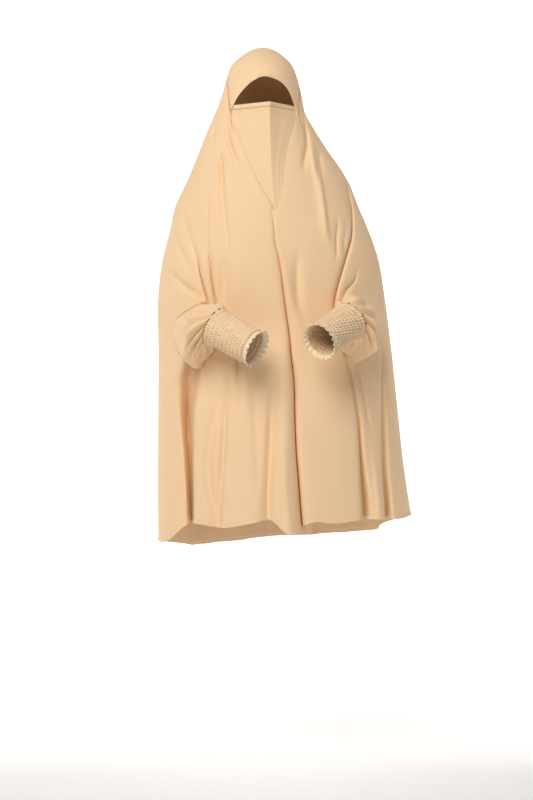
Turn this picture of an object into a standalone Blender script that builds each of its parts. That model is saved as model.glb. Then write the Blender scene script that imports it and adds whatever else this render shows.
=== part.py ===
"""Instant hijab: hood and cape in one cloth, face veil, and sleeves with smocked cuffs.

It keeps the shape that it hangs in when it is worn. Metres, +Z up, the face looks along -Y.
The origin is at the crown of the head, where the hood sits.
"""

import math
from collections import namedtuple

import bmesh
import bpy
import numpy as np
from mathutils import Vector
from mathutils.bvhtree import BVHTree

# Cape sizes
FRONT_LENGTH = 1.05        # crown to the front hem, straight down
HEM_DIP = 0.080            # how much lower the hem hangs at its lowest than at its highest
HALF_WIDTH = 0.285         # half of the width of the cape at its hem
HALF_DEPTH = 0.19          # reach of the hem in front of the head's middle
FOLD_DEPTH = 0.06          # depth of a full fold
CLOTH = 0.002              # thickness of the cloth
SEAM_GAP = 0.0008          # clearance between two sewn pieces
CUTTER_REACH = 0.02        # how far the tool that cuts the face opening reaches past the front

# Face opening and veil sizes
BINDING_RADIUS = 0.0012    # rolled edge round the face opening
VEIL_TUCK = 0.012          # how far the veil runs under the edge of the opening
VEIL_TAIL = 0.025          # how far the veil runs on below the point of the opening
VEIL_HEM = 0.010           # height of the turned hem along the top of the veil
VEIL_HEM_THICKNESS = 0.0026
VEIL_SETBACK = 0.0032      # depth of the veil's edges behind the outer face of the cape
NOSE_REACH = 0.127         # how far the veil is held out in front of the head's middle
NOSE_ASIDE = 0.015         # how far the nose is from the middle

# Sleeve and cuff sizes
ROOT_INSET = 0.030         # how far a sleeve starts inside the cape
PUFF_TALL = 0.068          # half of the height of the puffed part of a sleeve
PUFF_WIDE = 0.050          # half of its width
GATHER_DEPTH = 0.0022      # half of the height of the gathers that run into the cuff
GATHERS = 8
CUFF_LENGTH = 0.100
CUFF_RADIUS = 0.037
CUFF_WALL = 0.003          # smocked cloth is bunched up, so it is thicker
SMOCK_DEPTH = 0.0012       # half of the height of the rings between two elastic rows
SMOCK_RINGS = 4
RUFFLE_LENGTH = 0.012
RUFFLE_FLARE = 0.008       # how far the frill spreads past the cuff
RUFFLE_WAVE = 0.0035       # half of the height of its waves
RUFFLE_WAVES = 9

# The bare section of the cape at one height. Drop is a share of FRONT_LENGTH, left and right are
# shares of HALF_WIDTH, front and back are shares of HALF_DEPTH. Left is -X.
Section = namedtuple("Section", "drop left right front back")
SECTIONS = [
    Section(0.000, 0.000, 0.000, 0.000, 0.000),
    Section(0.021, 0.158, 0.158, 0.275, 0.310),
    Section(0.037, 0.232, 0.214, 0.375, 0.425),
    Section(0.068, 0.279, 0.268, 0.484, 0.530),
    Section(0.105, 0.316, 0.304, 0.520, 0.565),
    Section(0.148, 0.382, 0.340, 0.558, 0.580),
    Section(0.177, 0.438, 0.409, 0.590, 0.595),
    Section(0.218, 0.498, 0.505, 0.626, 0.615),
    Section(0.287, 0.587, 0.663, 0.690, 0.675),
    Section(0.343, 0.695, 0.750, 0.742, 0.720),
    Section(0.396, 0.740, 0.845, 0.780, 0.755),
    Section(0.450, 0.793, 0.912, 0.795, 0.785),
    Section(0.531, 0.828, 0.958, 0.790, 0.820),
    Section(0.632, 0.823, 0.995, 0.770, 0.860),
    Section(0.787, 0.825, 1.042, 0.870, 0.905),
    Section(0.910, 0.828, 1.105, 0.945, 0.940),
    Section(1.000, 0.825, 1.167, 1.000, 0.965),
]

# How far the hem hangs down past FRONT_LENGTH, as a share of HEM_DIP. Turn is in degrees from the
# front and positive to +X.
Hem = namedtuple("Hem", "turn dip")
HEM = [
    Hem(-180, 0.80), Hem(-135, 0.97), Hem(-90, 0.72), Hem(-60, 0.60), Hem(-43, 0.16),
    Hem(-20, 0.21), Hem(-5, 0.08), Hem(4, 0.04), Hem(9, 0.38), Hem(13, 0.34), Hem(17, 0.12),
    Hem(28, 0.10), Hem(41, 0.02), Hem(60, 0.05), Hem(90, 0.00), Hem(135, 0.56), Hem(180, 0.80),
]
DIP_START = 0.35           # drop from which the hem's dips show in the cloth

# Where a fold runs and how deep it is there. Drop is a share of FRONT_LENGTH, depth is a share of
# FOLD_DEPTH and negative for a ridge.
Station = namedtuple("Station", "drop turn depth")
Fold = namedtuple("Fold", "width stations")
FOLDS = {
    "left_gap": Fold(0.011, [
        Station(0.10, -74, 0.00), Station(0.26, -60, 0.00), Station(0.36, -48, 0.00),
        Station(0.45, -38, 0.15), Station(0.55, -31, 0.50), Station(0.66, -37, 0.60),
        Station(0.76, -42, 1.20), Station(1.00, -41, 1.30)]),
    "left_chest": Fold(0.014, [
        Station(0.08, -72, 0.00), Station(0.13, -51, 0.16), Station(0.17, -42, 0.18),
        Station(0.22, -36, 0.08), Station(0.31, -30, 0.10), Station(0.41, -21, 0.16),
        Station(0.54, -16, 0.18), Station(0.75, -12, 0.18), Station(1.00, -11, 0.12)]),
    "left_lower": Fold(0.026, [
        Station(0.66, -5, 0.00), Station(0.76, -3, 0.34), Station(0.88, 0, 0.40),
        Station(1.00, 2, 0.46)]),
    "left_ridge": Fold(0.030, [
        Station(0.70, -22, 0.00), Station(0.86, -19, -0.24), Station(1.00, -19, -0.32)]),
    "centre_ridge": Fold(0.018, [
        Station(0.50, 4, 0.00), Station(0.75, 8, -0.12), Station(1.00, 10, -0.34)]),
    "centre": Fold(0.009, [
        Station(0.30, 5, 0.00), Station(0.37, 7, 0.05), Station(0.53, 12, 0.50),
        Station(0.71, 14, 0.90), Station(1.00, 15, 1.00)]),
    "right_chest": Fold(0.016, [
        Station(0.08, 76, 0.00), Station(0.12, 66, 0.10), Station(0.17, 55, 0.16),
        Station(0.22, 47, 0.14), Station(0.29, 42, 0.12), Station(0.37, 36, 0.14),
        Station(0.45, 32, 0.14), Station(0.56, 28, 0.04), Station(0.66, 25, 0.10),
        Station(0.78, 23, 0.24), Station(1.00, 24, 0.16)]),
    "right_gap": Fold(0.010, [
        Station(0.10, 84, 0.00), Station(0.36, 62, 0.05), Station(0.45, 45, 0.55),
        Station(0.55, 35, 0.80), Station(0.65, 38, 0.60), Station(0.76, 44, 0.70),
        Station(1.00, 42, 1.10)]),
    "right_side": Fold(0.012, [
        Station(0.10, 96, 0.00), Station(0.36, 84, 0.00), Station(0.63, 66, 0.20),
        Station(0.75, 63, 0.60), Station(1.00, 56, 0.90)]),
    "right_back": Fold(0.045, [
        Station(0.35, 118, 0.00), Station(0.70, 120, 0.26), Station(1.00, 121, 0.44)]),
    "back_right": Fold(0.040, [
        Station(0.30, 152, 0.00), Station(0.70, 156, 0.30), Station(1.00, 158, 0.50)]),
    "back_left": Fold(0.040, [
        Station(0.30, -158, 0.00), Station(0.70, -164, 0.32), Station(1.00, -166, 0.52)]),
    "left_back": Fold(0.045, [
        Station(0.35, -122, 0.00), Station(0.70, -126, 0.28), Station(1.00, -128, 0.48)]),
}

# The columns of the cape's mesh follow these folds. Columns is their number up to the next line.
GRAIN = [(-180, 5), (-140, 4), (-105, 5), ("left_gap", 5), ("left_chest", 8), ("centre", 6),
         ("right_chest", 4), ("right_gap", 4), ("right_side", 5), (105, 5), (140, 5)]
CROWN_ROWS = 6
BODY_ROWS = 23
CROWN_DROP = 0.105         # where the rows of the crown end, as a share of FRONT_LENGTH

# The edge of the face opening, clockwise as the wearer's front is seen, from the forehead.
EdgePoint = namedtuple("EdgePoint", "drop turn")
OPENING = [
    EdgePoint(0.077, 3), EdgePoint(0.084, 24), EdgePoint(0.098, 38), EdgePoint(0.118, 46),
    EdgePoint(0.141, 50), EdgePoint(0.160, 45), EdgePoint(0.185, 35), EdgePoint(0.215, 25),
    EdgePoint(0.256, 17), EdgePoint(0.310, 13), EdgePoint(0.345, 10), EdgePoint(0.366, 7),
    EdgePoint(0.345, 4), EdgePoint(0.310, -2), EdgePoint(0.262, -11), EdgePoint(0.213, -21),
    EdgePoint(0.180, -30), EdgePoint(0.156, -36.5), EdgePoint(0.139, -38.5),
    EdgePoint(0.118, -34.5), EdgePoint(0.099, -25), EdgePoint(0.085, -13),
]
EDGE_STEPS = 2             # points along the edge between two rows of the table
VEIL_TOP = 0.1355          # drop of the top edge of the veil, as a share of FRONT_LENGTH

# A sleeve, by where it leaves the cape and where its cuff starts on the front, as shares and
# degrees, how far the cuff stands off the cape, and the directions of its root and its cuff.
Arm = namedtuple("Arm", "name root_drop root_turn cuff_drop cuff_turn stand_off root_way cuff_way")
ARMS = [
    Arm("right_arm", 0.606, -50, 0.600, -22, 0.058, (0.50, -0.86, -0.10), (0.80, -0.42, -0.43)),
    Arm("left_arm", 0.600, 48, 0.592, 36, 0.062, (0.05, -0.99, -0.10), (-0.61, -0.67, -0.41)),
]
ARM_REACH = 0.06           # how strongly a sleeve holds its direction at its root
CUFF_REACH = 0.03          # and at its cuff

# Rings of a sleeve. Along is a share of its length, tall and wide are shares of PUFF_TALL and
# PUFF_WIDE, sag is a share of PUFF_TALL, gather is a share of GATHER_DEPTH.
SleeveRing = namedtuple("SleeveRing", "along tall wide sag gather")
SLEEVE_RINGS = [
    SleeveRing(0.00, 0.80, 0.80, 0.00, 0.0),
    SleeveRing(0.18, 0.90, 0.92, 0.08, 0.0),
    SleeveRing(0.36, 1.00, 1.02, 0.18, 0.2),
    SleeveRing(0.54, 1.03, 1.06, 0.26, 0.5),
    SleeveRing(0.70, 0.98, 1.02, 0.25, 0.8),
    SleeveRing(0.84, 0.82, 0.92, 0.16, 1.0),
    SleeveRing(0.94, 0.66, 0.82, 0.06, 1.0),
]
SLEEVE_SIDES = 24
CUFF_SIDES = 16

COLLECTION = "instant_hijab"


def smooth_through(at, places, values):
    """Value at a place on a smooth curve through the given values, held level past its ends."""
    places, values = np.asarray(places, float), np.asarray(values, float)
    if at <= places[0]:
        return float(values[0])
    if at >= places[-1]:
        return float(values[-1])
    slopes = np.gradient(values, places)
    i = int(np.searchsorted(places, at, side="right")) - 1
    step = places[i + 1] - places[i]
    t = (at - places[i]) / step
    return float((2 * t**3 - 3 * t**2 + 1) * values[i] + (t**3 - 2 * t**2 + t) * step * slopes[i]
                 + (3 * t**2 - 2 * t**3) * values[i + 1] + (t**3 - t**2) * step * slopes[i + 1])


def ease(value, start, end):
    """0 before start, 1 after end, and a smooth rise between them."""
    t = min(max((value - start) / (end - start), 0.0), 1.0)
    return t * t * (3 - 2 * t)


def section_at(drop):
    """Left, right, front and back reach of the bare cape at a drop, in metres."""
    heights = [math.sqrt(s.drop) for s in SECTIONS]
    reach = [smooth_through(math.sqrt(drop), heights, [s[k] for s in SECTIONS])
             for k in range(1, 5)]
    return reach[0] * HALF_WIDTH, reach[1] * HALF_WIDTH, reach[2] * HALF_DEPTH, reach[3] * HALF_DEPTH


def height_at(drop, turn):
    """Height of a point of the cape, with the hem's dips easing in towards the hem."""
    turn = (turn + 180) % 360 - 180
    dip = HEM_DIP * smooth_through(turn, [h.turn for h in HEM], [h.dip for h in HEM])
    return -drop * FRONT_LENGTH - dip * ease(drop, DIP_START, 1.0)


def bare_point(drop, turn):
    """Point of the cape without its folds, and its level outward direction there."""
    left, right, front, back = section_at(drop)
    angle = math.radians(turn)
    across = right if turn > 0 else left
    along = front if abs(turn) < 90 else back
    point = Vector((across * math.sin(angle), -along * math.cos(angle), height_at(drop, turn)))
    outward = Vector((along * math.sin(angle), -across * math.cos(angle), 0))
    if outward.length < 1e-9:
        outward = Vector((math.sin(angle), -math.cos(angle), 0))
    return point, outward.normalized()


def fold_turn(fold, drop):
    """Where a fold runs at a drop, in degrees."""
    return smooth_through(drop, [s.drop for s in fold.stations], [s.turn for s in fold.stations])


def fold_depth(drop, turn):
    """How far the folds together push the cloth in at a point."""
    left, right, front, back = section_at(drop)
    angle = math.radians(turn)
    across = right if turn > 0 else left
    along = front if abs(turn) < 90 else back
    metres_per_radian = math.hypot(across * math.cos(angle), along * math.sin(angle))
    total = 0.0
    for fold in FOLDS.values():
        share = smooth_through(drop, [s.drop for s in fold.stations],
                               [s.depth for s in fold.stations])
        away = (turn - fold_turn(fold, drop) + 180) % 360 - 180
        away = math.radians(away) * metres_per_radian / fold.width
        total += share * FOLD_DEPTH * math.exp(-away * away)
    return total


def cape_point(drop, turn):
    """Point of the folded cape's outer face."""
    point, outward = bare_point(drop, turn)
    return point - outward * fold_depth(drop, turn)


def face_point(cape_tree, drop, turn, inside):
    """Point straight behind the outer face of the cape's own mesh."""
    point, outward = bare_point(drop, turn)
    hit = cape_tree.ray_cast(point - outward * FOLD_DEPTH, outward)[0]
    return hit - outward * inside


def new_object(name, mesh, colour, roughness, collection):
    """Object for a mesh, with its own material, in a collection."""
    material = bpy.data.materials.new(name)
    material.use_nodes = True
    shader = material.node_tree.nodes["Principled BSDF"]
    shader.inputs["Base Color"].default_value = (*colour, 1)
    shader.inputs["Roughness"].default_value = roughness
    shader.inputs["Metallic"].default_value = 0
    mesh.materials.append(material)
    mesh.shade_smooth()
    obj = bpy.data.objects.new(name, mesh)
    collection.objects.link(obj)
    return obj


def loft(name, rings, closed=True, capped=False):
    """Mesh through rings of points. Closed rings run clockwise as seen along the loft."""
    bm = bmesh.new()
    rows = [[bm.verts.new(p) for p in ring] for ring in rings]
    count = len(rows[0])
    for upper, lower in zip(rows, rows[1:]):
        for k in range(count if closed else count - 1):
            n = (k + 1) % count
            bm.faces.new((upper[k], upper[n], lower[n], lower[k]))
    if capped:
        bm.faces.new(rows[0][::-1])
        bm.faces.new(rows[-1])
    bmesh.ops.remove_doubles(bm, verts=bm.verts, dist=1e-6)
    bmesh.ops.recalc_face_normals(bm, faces=bm.faces)
    mesh = bpy.data.meshes.new(name)
    bm.to_mesh(mesh)
    bm.free()
    return mesh


def add_wall(obj, thickness):
    """Gives a surface a wall that grows inwards."""
    wall = obj.modifiers.new("wall", "SOLIDIFY")
    wall.thickness = thickness
    wall.offset = -1
    wall.use_rim = True


def add_cut(obj, cutter):
    """Cuts a cutter's shape out of an object."""
    cut = obj.modifiers.new(cutter.name, "BOOLEAN")
    cut.operation = "DIFFERENCE"
    cut.object = cutter


def as_cutter(name, mesh, collection):
    """Object that only cuts others."""
    obj = bpy.data.objects.new(name, mesh)
    obj.hide_render = True
    obj.display_type = "WIRE"
    collection.objects.link(obj)
    return obj


def column_turns(drop):
    """Turns of the mesh's columns at a drop, closer together beside the folds that they follow."""
    lines = [(fold_turn(FOLDS[line], drop) if isinstance(line, str) else line, columns)
             for line, columns in GRAIN]
    ends = [turn for turn, _ in lines[1:]] + [lines[0][0] + 360]
    turns = []
    for (start, columns), end in zip(lines, ends):
        for k in range(columns):
            turns.append(start + (end - start) * (0.5 - 0.5 * math.cos(math.pi * k / columns)))
    return turns


def row_drops():
    """Drops of the mesh's rows, from the crown to the hem."""
    crown = [CROWN_DROP * (1 - math.cos(math.pi / 2 * k / CROWN_ROWS)) for k in range(CROWN_ROWS)]
    body = [CROWN_DROP + (1 - CROWN_DROP) * k / BODY_ROWS for k in range(BODY_ROWS + 1)]
    return crown + body


def make_cape(parts):
    """Hood and cape in one cloth, as yet without its openings and its thickness."""
    rings = [[cape_point(drop, turn) for turn in column_turns(drop)] for drop in row_drops()]
    return new_object("cape", loft("cape", rings), (0.87, 0.69, 0.49), 0.85, parts)


def opening_edge():
    """Closed line of drops and turns round the face opening."""
    count = len(OPENING)
    line = []
    for i in range(count):
        before, start, end, after = (OPENING[(i + k) % count] for k in (-1, 0, 1, 2))
        for step in range(EDGE_STEPS):
            t = step / EDGE_STEPS
            line.append(EdgePoint(*(
                0.5 * (2 * start[k] + (end[k] - before[k]) * t
                       + (2 * before[k] - 5 * start[k] + 4 * end[k] - after[k]) * t * t
                       + (3 * start[k] - before[k] - 3 * end[k] + after[k]) * t**3)
                for k in range(2))))
    return line


def make_opening_cutter(cape_tree, cutters):
    """Prism through the front of the hood, wider than the edge's binding all round."""
    line = [face_point(cape_tree, p.drop, p.turn, CLOTH / 2) for p in opening_edge()]
    margin = BINDING_RADIUS + SEAM_GAP
    outline = []
    for i, point in enumerate(line):
        ahead = line[(i + 1) % len(line)] - line[i - 1]
        outline.append((point.x + ahead.z / math.hypot(ahead.x, ahead.z) * -margin,
                        point.z + ahead.x / math.hypot(ahead.x, ahead.z) * margin))
    curve = bpy.data.curves.new("face_cutter", "CURVE")
    curve.dimensions = "2D"
    curve.fill_mode = "BOTH"
    curve.extrude = HALF_DEPTH / 2
    spline = curve.splines.new("POLY")
    spline.points.add(len(outline) - 1)
    for spot, (x, z) in zip(spline.points, outline):
        spot.co = (x, z, 0, 1)
    spline.use_cyclic_u = True
    flat = bpy.data.objects.new("face_cutter", curve)
    flat.location = (0, -HALF_DEPTH / 2 - CUTTER_REACH, 0)
    flat.rotation_euler = (math.radians(90), 0, 0)
    cutters.objects.link(flat)
    bpy.context.view_layer.update()
    evaluated = flat.evaluated_get(bpy.context.evaluated_depsgraph_get())
    mesh = bpy.data.meshes.new_from_object(evaluated)
    mesh.transform(flat.matrix_world)
    bpy.data.objects.remove(flat)
    bm = bmesh.new()
    bm.from_mesh(mesh)
    bmesh.ops.remove_doubles(bm, verts=bm.verts, dist=1e-6)
    bmesh.ops.recalc_face_normals(bm, faces=bm.faces)
    bm.to_mesh(mesh)
    bm.free()
    return as_cutter("face_cutter", mesh, cutters)


def make_binding(cape_tree, parts):
    """Rolled edge that runs round the face opening."""
    line = [face_point(cape_tree, p.drop, p.turn, CLOTH / 2) for p in opening_edge()]
    curve = bpy.data.curves.new("face_binding", "CURVE")
    curve.dimensions = "3D"
    curve.bevel_depth = BINDING_RADIUS
    curve.bevel_resolution = 1
    spline = curve.splines.new("POLY")
    spline.points.add(len(line) - 1)
    for spot, point in zip(spline.points, line):
        spot.co = (*point, 1)
    spline.use_cyclic_u = True
    tube = bpy.data.objects.new("tube", curve)
    parts.objects.link(tube)
    bpy.context.view_layer.update()
    evaluated = tube.evaluated_get(bpy.context.evaluated_depsgraph_get())
    mesh = bpy.data.meshes.new_from_object(evaluated)
    bpy.data.objects.remove(tube)
    return new_object("face_binding", mesh, (0.90, 0.74, 0.55), 0.8, parts)


def edge_turn(drop, side):
    """Turn of the opening's edge at a drop, on the -X side for -1 and the +X side for 1."""
    deepest = max(range(len(OPENING)), key=lambda i: OPENING[i].drop)
    run = OPENING[:deepest + 1] if side > 0 else OPENING[deepest:] + OPENING[:1]
    run = sorted(run, key=lambda p: p.drop)
    return float(np.interp(drop, [p.drop for p in run], [p.turn for p in run]))


VEIL_COLUMNS = (-1.0, -0.8, -0.55, -0.3, -0.1, 0.0, 0.1, 0.3, 0.55, 0.8, 1.0)
VEIL_ROWS = 10
RIDGE_ROUND = 0.10         # share of the veil's half width over which its ridge is rounded
POINT = max(OPENING, key=lambda p: p.drop)


def veil_point(cape_tree, drop, share):
    """Point of the veil. Share is -1 and 1 at the edges of the opening and 0 over the nose."""
    low = min(drop, POINT.drop)
    side = 1 if share > 0 else -1
    tuck = max(abs(share) - 1, 0.0)
    edge = face_point(cape_tree, drop, edge_turn(low, side), VEIL_SETBACK)
    if tuck:
        turn = edge_turn(low, side) + side * math.degrees(tuck / math.hypot(edge.x, edge.y))
        return face_point(cape_tree, drop, turn, VEIL_SETBACK)
    chest = face_point(cape_tree, POINT.drop, POINT.turn, VEIL_SETBACK)
    down = (low - VEIL_TOP) / (POINT.drop - VEIL_TOP)
    ridge = Vector((NOSE_ASIDE, -NOSE_REACH, edge.z)).lerp(Vector((chest.x, chest.y, edge.z)), down)
    if drop > POINT.drop:
        ridge = face_point(cape_tree, drop, POINT.turn, VEIL_SETBACK)
    away = math.sqrt(share * share + RIDGE_ROUND**2) - RIDGE_ROUND
    away /= math.sqrt(1 + RIDGE_ROUND**2) - RIDGE_ROUND
    return ridge.lerp(edge, away)


def veil_sheet(cape_tree, drops):
    """Rows of points across the veil at the given drops."""
    shares = [-1 - VEIL_TUCK, *VEIL_COLUMNS, 1 + VEIL_TUCK]
    return [[veil_point(cape_tree, drop, share) for share in shares] for drop in drops]


def make_veil(cape_tree, parts):
    """Face veil, behind the edges of the opening, and the turned hem along its top."""
    hem_end = VEIL_TOP + VEIL_HEM / FRONT_LENGTH
    top = hem_end + SEAM_GAP / FRONT_LENGTH
    bottom = POINT.drop + VEIL_TAIL / FRONT_LENGTH
    drops = [top + (bottom - top) * k / VEIL_ROWS for k in range(VEIL_ROWS + 1)]
    veil = new_object("face_veil", loft("face_veil", veil_sheet(cape_tree, drops), closed=False),
                      (0.87, 0.70, 0.51), 0.85, parts)
    add_wall(veil, CLOTH)
    drops = (VEIL_TOP, hem_end)
    hem = new_object("veil_hem", loft("veil_hem", veil_sheet(cape_tree, drops), closed=False),
                     (0.88, 0.72, 0.53), 0.85, parts)
    add_wall(hem, VEIL_HEM_THICKNESS)


def cuff_frame(arm):
    """Start of a cuff, its direction, and the two directions across it."""
    point, outward = bare_point(arm.cuff_drop, arm.cuff_turn)
    way = Vector(arm.cuff_way).normalized()
    side = way.cross(Vector((0, 0, 1))).normalized()
    return point + outward * arm.stand_off, way, side, side.cross(way).normalized()


def ring_of(centre, side, up, wide, tall, count, wave=0.0, waves=0):
    """Oval ring of points round a centre, with waves in its radius if asked."""
    points = []
    for k in range(count):
        angle = 2 * math.pi * k / count
        swell = wave * math.cos(waves * angle)
        points.append(centre + side * (wide + swell) * math.cos(angle)
                      + up * (tall + swell) * math.sin(angle))
    return points


def point_on_curve(guides, t):
    """Point on the cubic curve of four guide points, from 0 at its start to 1 at its end."""
    weights = ((1 - t)**3, 3 * t * (1 - t)**2, 3 * t * t * (1 - t), t**3)
    return sum((guide * weight for guide, weight in zip(guides, weights)), Vector())


def sleeve_rings(arm, swell=0.0):
    """Rings of a sleeve from inside the cape to its cuff, swollen by a clearance if asked."""
    start, outward = bare_point(arm.root_drop, arm.root_turn)
    start = start - outward * ROOT_INSET
    end, way, _, _ = cuff_frame(arm)
    root_way = Vector(arm.root_way).normalized()
    guides = (start, start + root_way * ARM_REACH, end - way * CUFF_REACH, end)
    last = SleeveRing(1.0, CUFF_RADIUS / PUFF_TALL, CUFF_RADIUS / PUFF_WIDE, 0.0, 0.6)
    rings = []
    for row in [*SLEEVE_RINGS, last]:
        centre = point_on_curve(guides, row.along)
        centre.z -= row.sag * PUFF_TALL
        facing = root_way.lerp(way, row.along).normalized()
        side = facing.cross(Vector((0, 0, 1))).normalized()
        up = side.cross(facing).normalized()
        rings.append(ring_of(centre, side, up, PUFF_WIDE * row.wide + swell,
                             PUFF_TALL * row.tall + swell, SLEEVE_SIDES,
                             GATHER_DEPTH * row.gather, GATHERS))
    return rings


def make_sleeve_cutter(arm, cutters):
    """Solid of a sleeve's outer shape and its clearance, for the armhole."""
    mesh = loft(arm.name + "_cutter", sleeve_rings(arm, SEAM_GAP), capped=True)
    return as_cutter(arm.name + "_cutter", mesh, cutters)


def make_sleeve(arm, parts):
    """Puffed sleeve, smocked cuff and frill of one arm."""
    sleeve = new_object(arm.name + "_sleeve", loft(arm.name + "_sleeve", sleeve_rings(arm)),
                        (0.87, 0.69, 0.49), 0.85, parts)
    add_wall(sleeve, CLOTH)
    start, way, side, up = cuff_frame(arm)
    rings = []
    for k in range(2 * SMOCK_RINGS + 1):
        along = SEAM_GAP + (CUFF_LENGTH - SEAM_GAP) * k / (2 * SMOCK_RINGS)
        radius = CUFF_RADIUS + SMOCK_DEPTH * (1 if k % 2 else -1)
        rings.append(ring_of(start + way * along, side, up, radius, radius, CUFF_SIDES))
    cuff = new_object(arm.name + "_cuff", loft(arm.name + "_cuff", rings),
                      (0.91, 0.80, 0.63), 0.9, parts)
    add_wall(cuff, CUFF_WALL)
    rings = []
    for share in (0.0, 0.5, 1.0):
        centre = start + way * (CUFF_LENGTH + SEAM_GAP + RUFFLE_LENGTH * share)
        radius = CUFF_RADIUS - SMOCK_DEPTH + RUFFLE_FLARE * share**2
        rings.append(ring_of(centre, side, up, radius, radius, 4 * RUFFLE_WAVES,
                             RUFFLE_WAVE * share, RUFFLE_WAVES))
    frill = new_object(arm.name + "_frill", loft(arm.name + "_frill", rings),
                       (0.92, 0.82, 0.66), 0.85, parts)
    add_wall(frill, CLOTH)


def main():
    """Builds every piece of the hijab."""
    for obj in list(bpy.data.objects):
        bpy.data.objects.remove(obj)
    parts = bpy.data.collections.new(COLLECTION)
    cutters = bpy.data.collections.new("cutters")
    for collection in (parts, cutters):
        bpy.context.scene.collection.children.link(collection)
    cape = make_cape(parts)
    cape_tree = BVHTree.FromPolygons([v.co for v in cape.data.vertices],
                                     [f.vertices for f in cape.data.polygons])
    add_wall(cape, CLOTH)
    add_cut(cape, make_opening_cutter(cape_tree, cutters))
    for arm in ARMS:
        add_cut(cape, make_sleeve_cutter(arm, cutters))
        make_sleeve(arm, parts)
    make_binding(cape_tree, parts)
    make_veil(cape_tree, parts)


main()
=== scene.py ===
"""Instant hijab, dressed: hood and cape in one crepe cloth, face veil, gathered sleeves and smocked cuffs.

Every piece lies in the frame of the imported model: metres, +Z up, the face looks along -Y and the
origin is at the crown of the head. Left is -X throughout, as the front is seen.
"""

import logging
import math
from dataclasses import dataclass, field, replace
from enum import Enum

import bmesh
import bpy
import numpy as np
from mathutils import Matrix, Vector, noise
from mathutils.bvhtree import BVHTree

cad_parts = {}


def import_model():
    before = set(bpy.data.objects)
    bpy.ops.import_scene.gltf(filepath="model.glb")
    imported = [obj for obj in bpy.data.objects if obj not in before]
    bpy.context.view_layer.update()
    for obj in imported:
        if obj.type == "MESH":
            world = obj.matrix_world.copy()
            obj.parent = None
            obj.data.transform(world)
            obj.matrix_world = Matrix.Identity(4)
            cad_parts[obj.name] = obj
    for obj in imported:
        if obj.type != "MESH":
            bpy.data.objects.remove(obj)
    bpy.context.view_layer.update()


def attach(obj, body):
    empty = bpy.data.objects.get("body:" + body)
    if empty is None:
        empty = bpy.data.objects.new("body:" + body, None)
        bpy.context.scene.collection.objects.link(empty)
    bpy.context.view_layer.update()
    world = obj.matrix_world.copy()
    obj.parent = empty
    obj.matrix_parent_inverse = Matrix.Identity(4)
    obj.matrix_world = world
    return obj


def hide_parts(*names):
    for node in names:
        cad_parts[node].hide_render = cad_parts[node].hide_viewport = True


MM = 0.001
log = logging.getLogger("instant_hijab")


# ---- numbers on smooth curves ----

def curve_through(at: np.ndarray, places: list, values: list) -> np.ndarray:
    """Reads a smooth curve through some values, held level past its ends.

    Args:
        at: places to read the curve at.
        places: rising places of the values.
        values: values at those places.

    Returns:
        The curve's values, in the shape of at.
    """
    places, values = np.asarray(places, float), np.asarray(values, float)
    at = np.clip(np.asarray(at, float), places[0], places[-1])
    slopes = np.gradient(values, places)
    i = np.clip(np.searchsorted(places, at, side="right") - 1, 0, len(places) - 2)
    step = places[i + 1] - places[i]
    t = (at - places[i]) / step
    return ((2 * t**3 - 3 * t**2 + 1) * values[i] + (t**3 - 2 * t**2 + t) * step * slopes[i]
            + (3 * t**2 - 2 * t**3) * values[i + 1] + (t**3 - t**2) * step * slopes[i + 1])


def ease(at: np.ndarray, start: float, end: float) -> np.ndarray:
    """Rises smoothly from 0 at start to 1 at end.

    Args:
        at: places to read the rise at.
        start: where it leaves 0.
        end: where it reaches 1.

    Returns:
        Values from 0 to 1, in the shape of at.
    """
    t = np.clip((np.asarray(at, float) - start) / (end - start), 0.0, 1.0)
    return t * t * (3 - 2 * t)


def wrapped(turn: np.ndarray) -> np.ndarray:
    """Brings turns in degrees into the range from -180 to 180."""
    return (np.asarray(turn, float) + 180) % 360 - 180


# ---- the form that the cape hangs in ----

@dataclass(frozen=True)
class Section:
    """Bare section of the cape at one height, as shares of the half width and the half depth."""
    drop: float
    left: float
    right: float
    front: float
    back: float


@dataclass(frozen=True)
class HemDip:
    """How far the hem hangs down at one turn, as a share of the largest dip."""
    turn: float
    dip: float


@dataclass(frozen=True)
class Station:
    """A fold at one height: its turn in degrees, its depth (below 0 for a ridge) and its widths in mm."""
    drop: float
    turn: float
    depth: float
    left: float
    right: float


@dataclass(frozen=True)
class Seen:
    """A fold at one height, by where it shows in the front view: px and py count from the top left."""
    px: float
    py: float
    depth: float
    left: float
    right: float


@dataclass(frozen=True)
class Fold:
    """A fold down the cape.

    Pinch is how far its lips are drawn together and lean how much more the right lip is than the
    left, both as shares of its widths.
    """
    stations: list
    pinch: float = 0.45
    lean: float = 0.0


SECTIONS = [
    Section(0.000, 0.000, 0.000, 0.000, 0.000),
    Section(0.021, 0.182, 0.172, 0.275, 0.310),
    Section(0.037, 0.246, 0.228, 0.375, 0.425),
    Section(0.068, 0.290, 0.275, 0.484, 0.530),
    Section(0.105, 0.328, 0.308, 0.520, 0.565),
    Section(0.148, 0.390, 0.344, 0.558, 0.580),
    Section(0.177, 0.438, 0.409, 0.590, 0.595),
    Section(0.218, 0.498, 0.505, 0.626, 0.615),
    Section(0.287, 0.604, 0.676, 0.690, 0.675),
    Section(0.343, 0.697, 0.760, 0.742, 0.720),
    Section(0.396, 0.740, 0.845, 0.780, 0.755),
    Section(0.450, 0.793, 0.912, 0.795, 0.785),
    Section(0.531, 0.828, 0.958, 0.790, 0.820),
    Section(0.632, 0.823, 1.004, 0.770, 0.860),
    Section(0.787, 0.828, 1.066, 0.870, 0.905),
    Section(0.910, 0.831, 1.118, 0.945, 0.940),
    Section(1.000, 0.825, 1.167, 1.000, 0.965),
]

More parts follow.
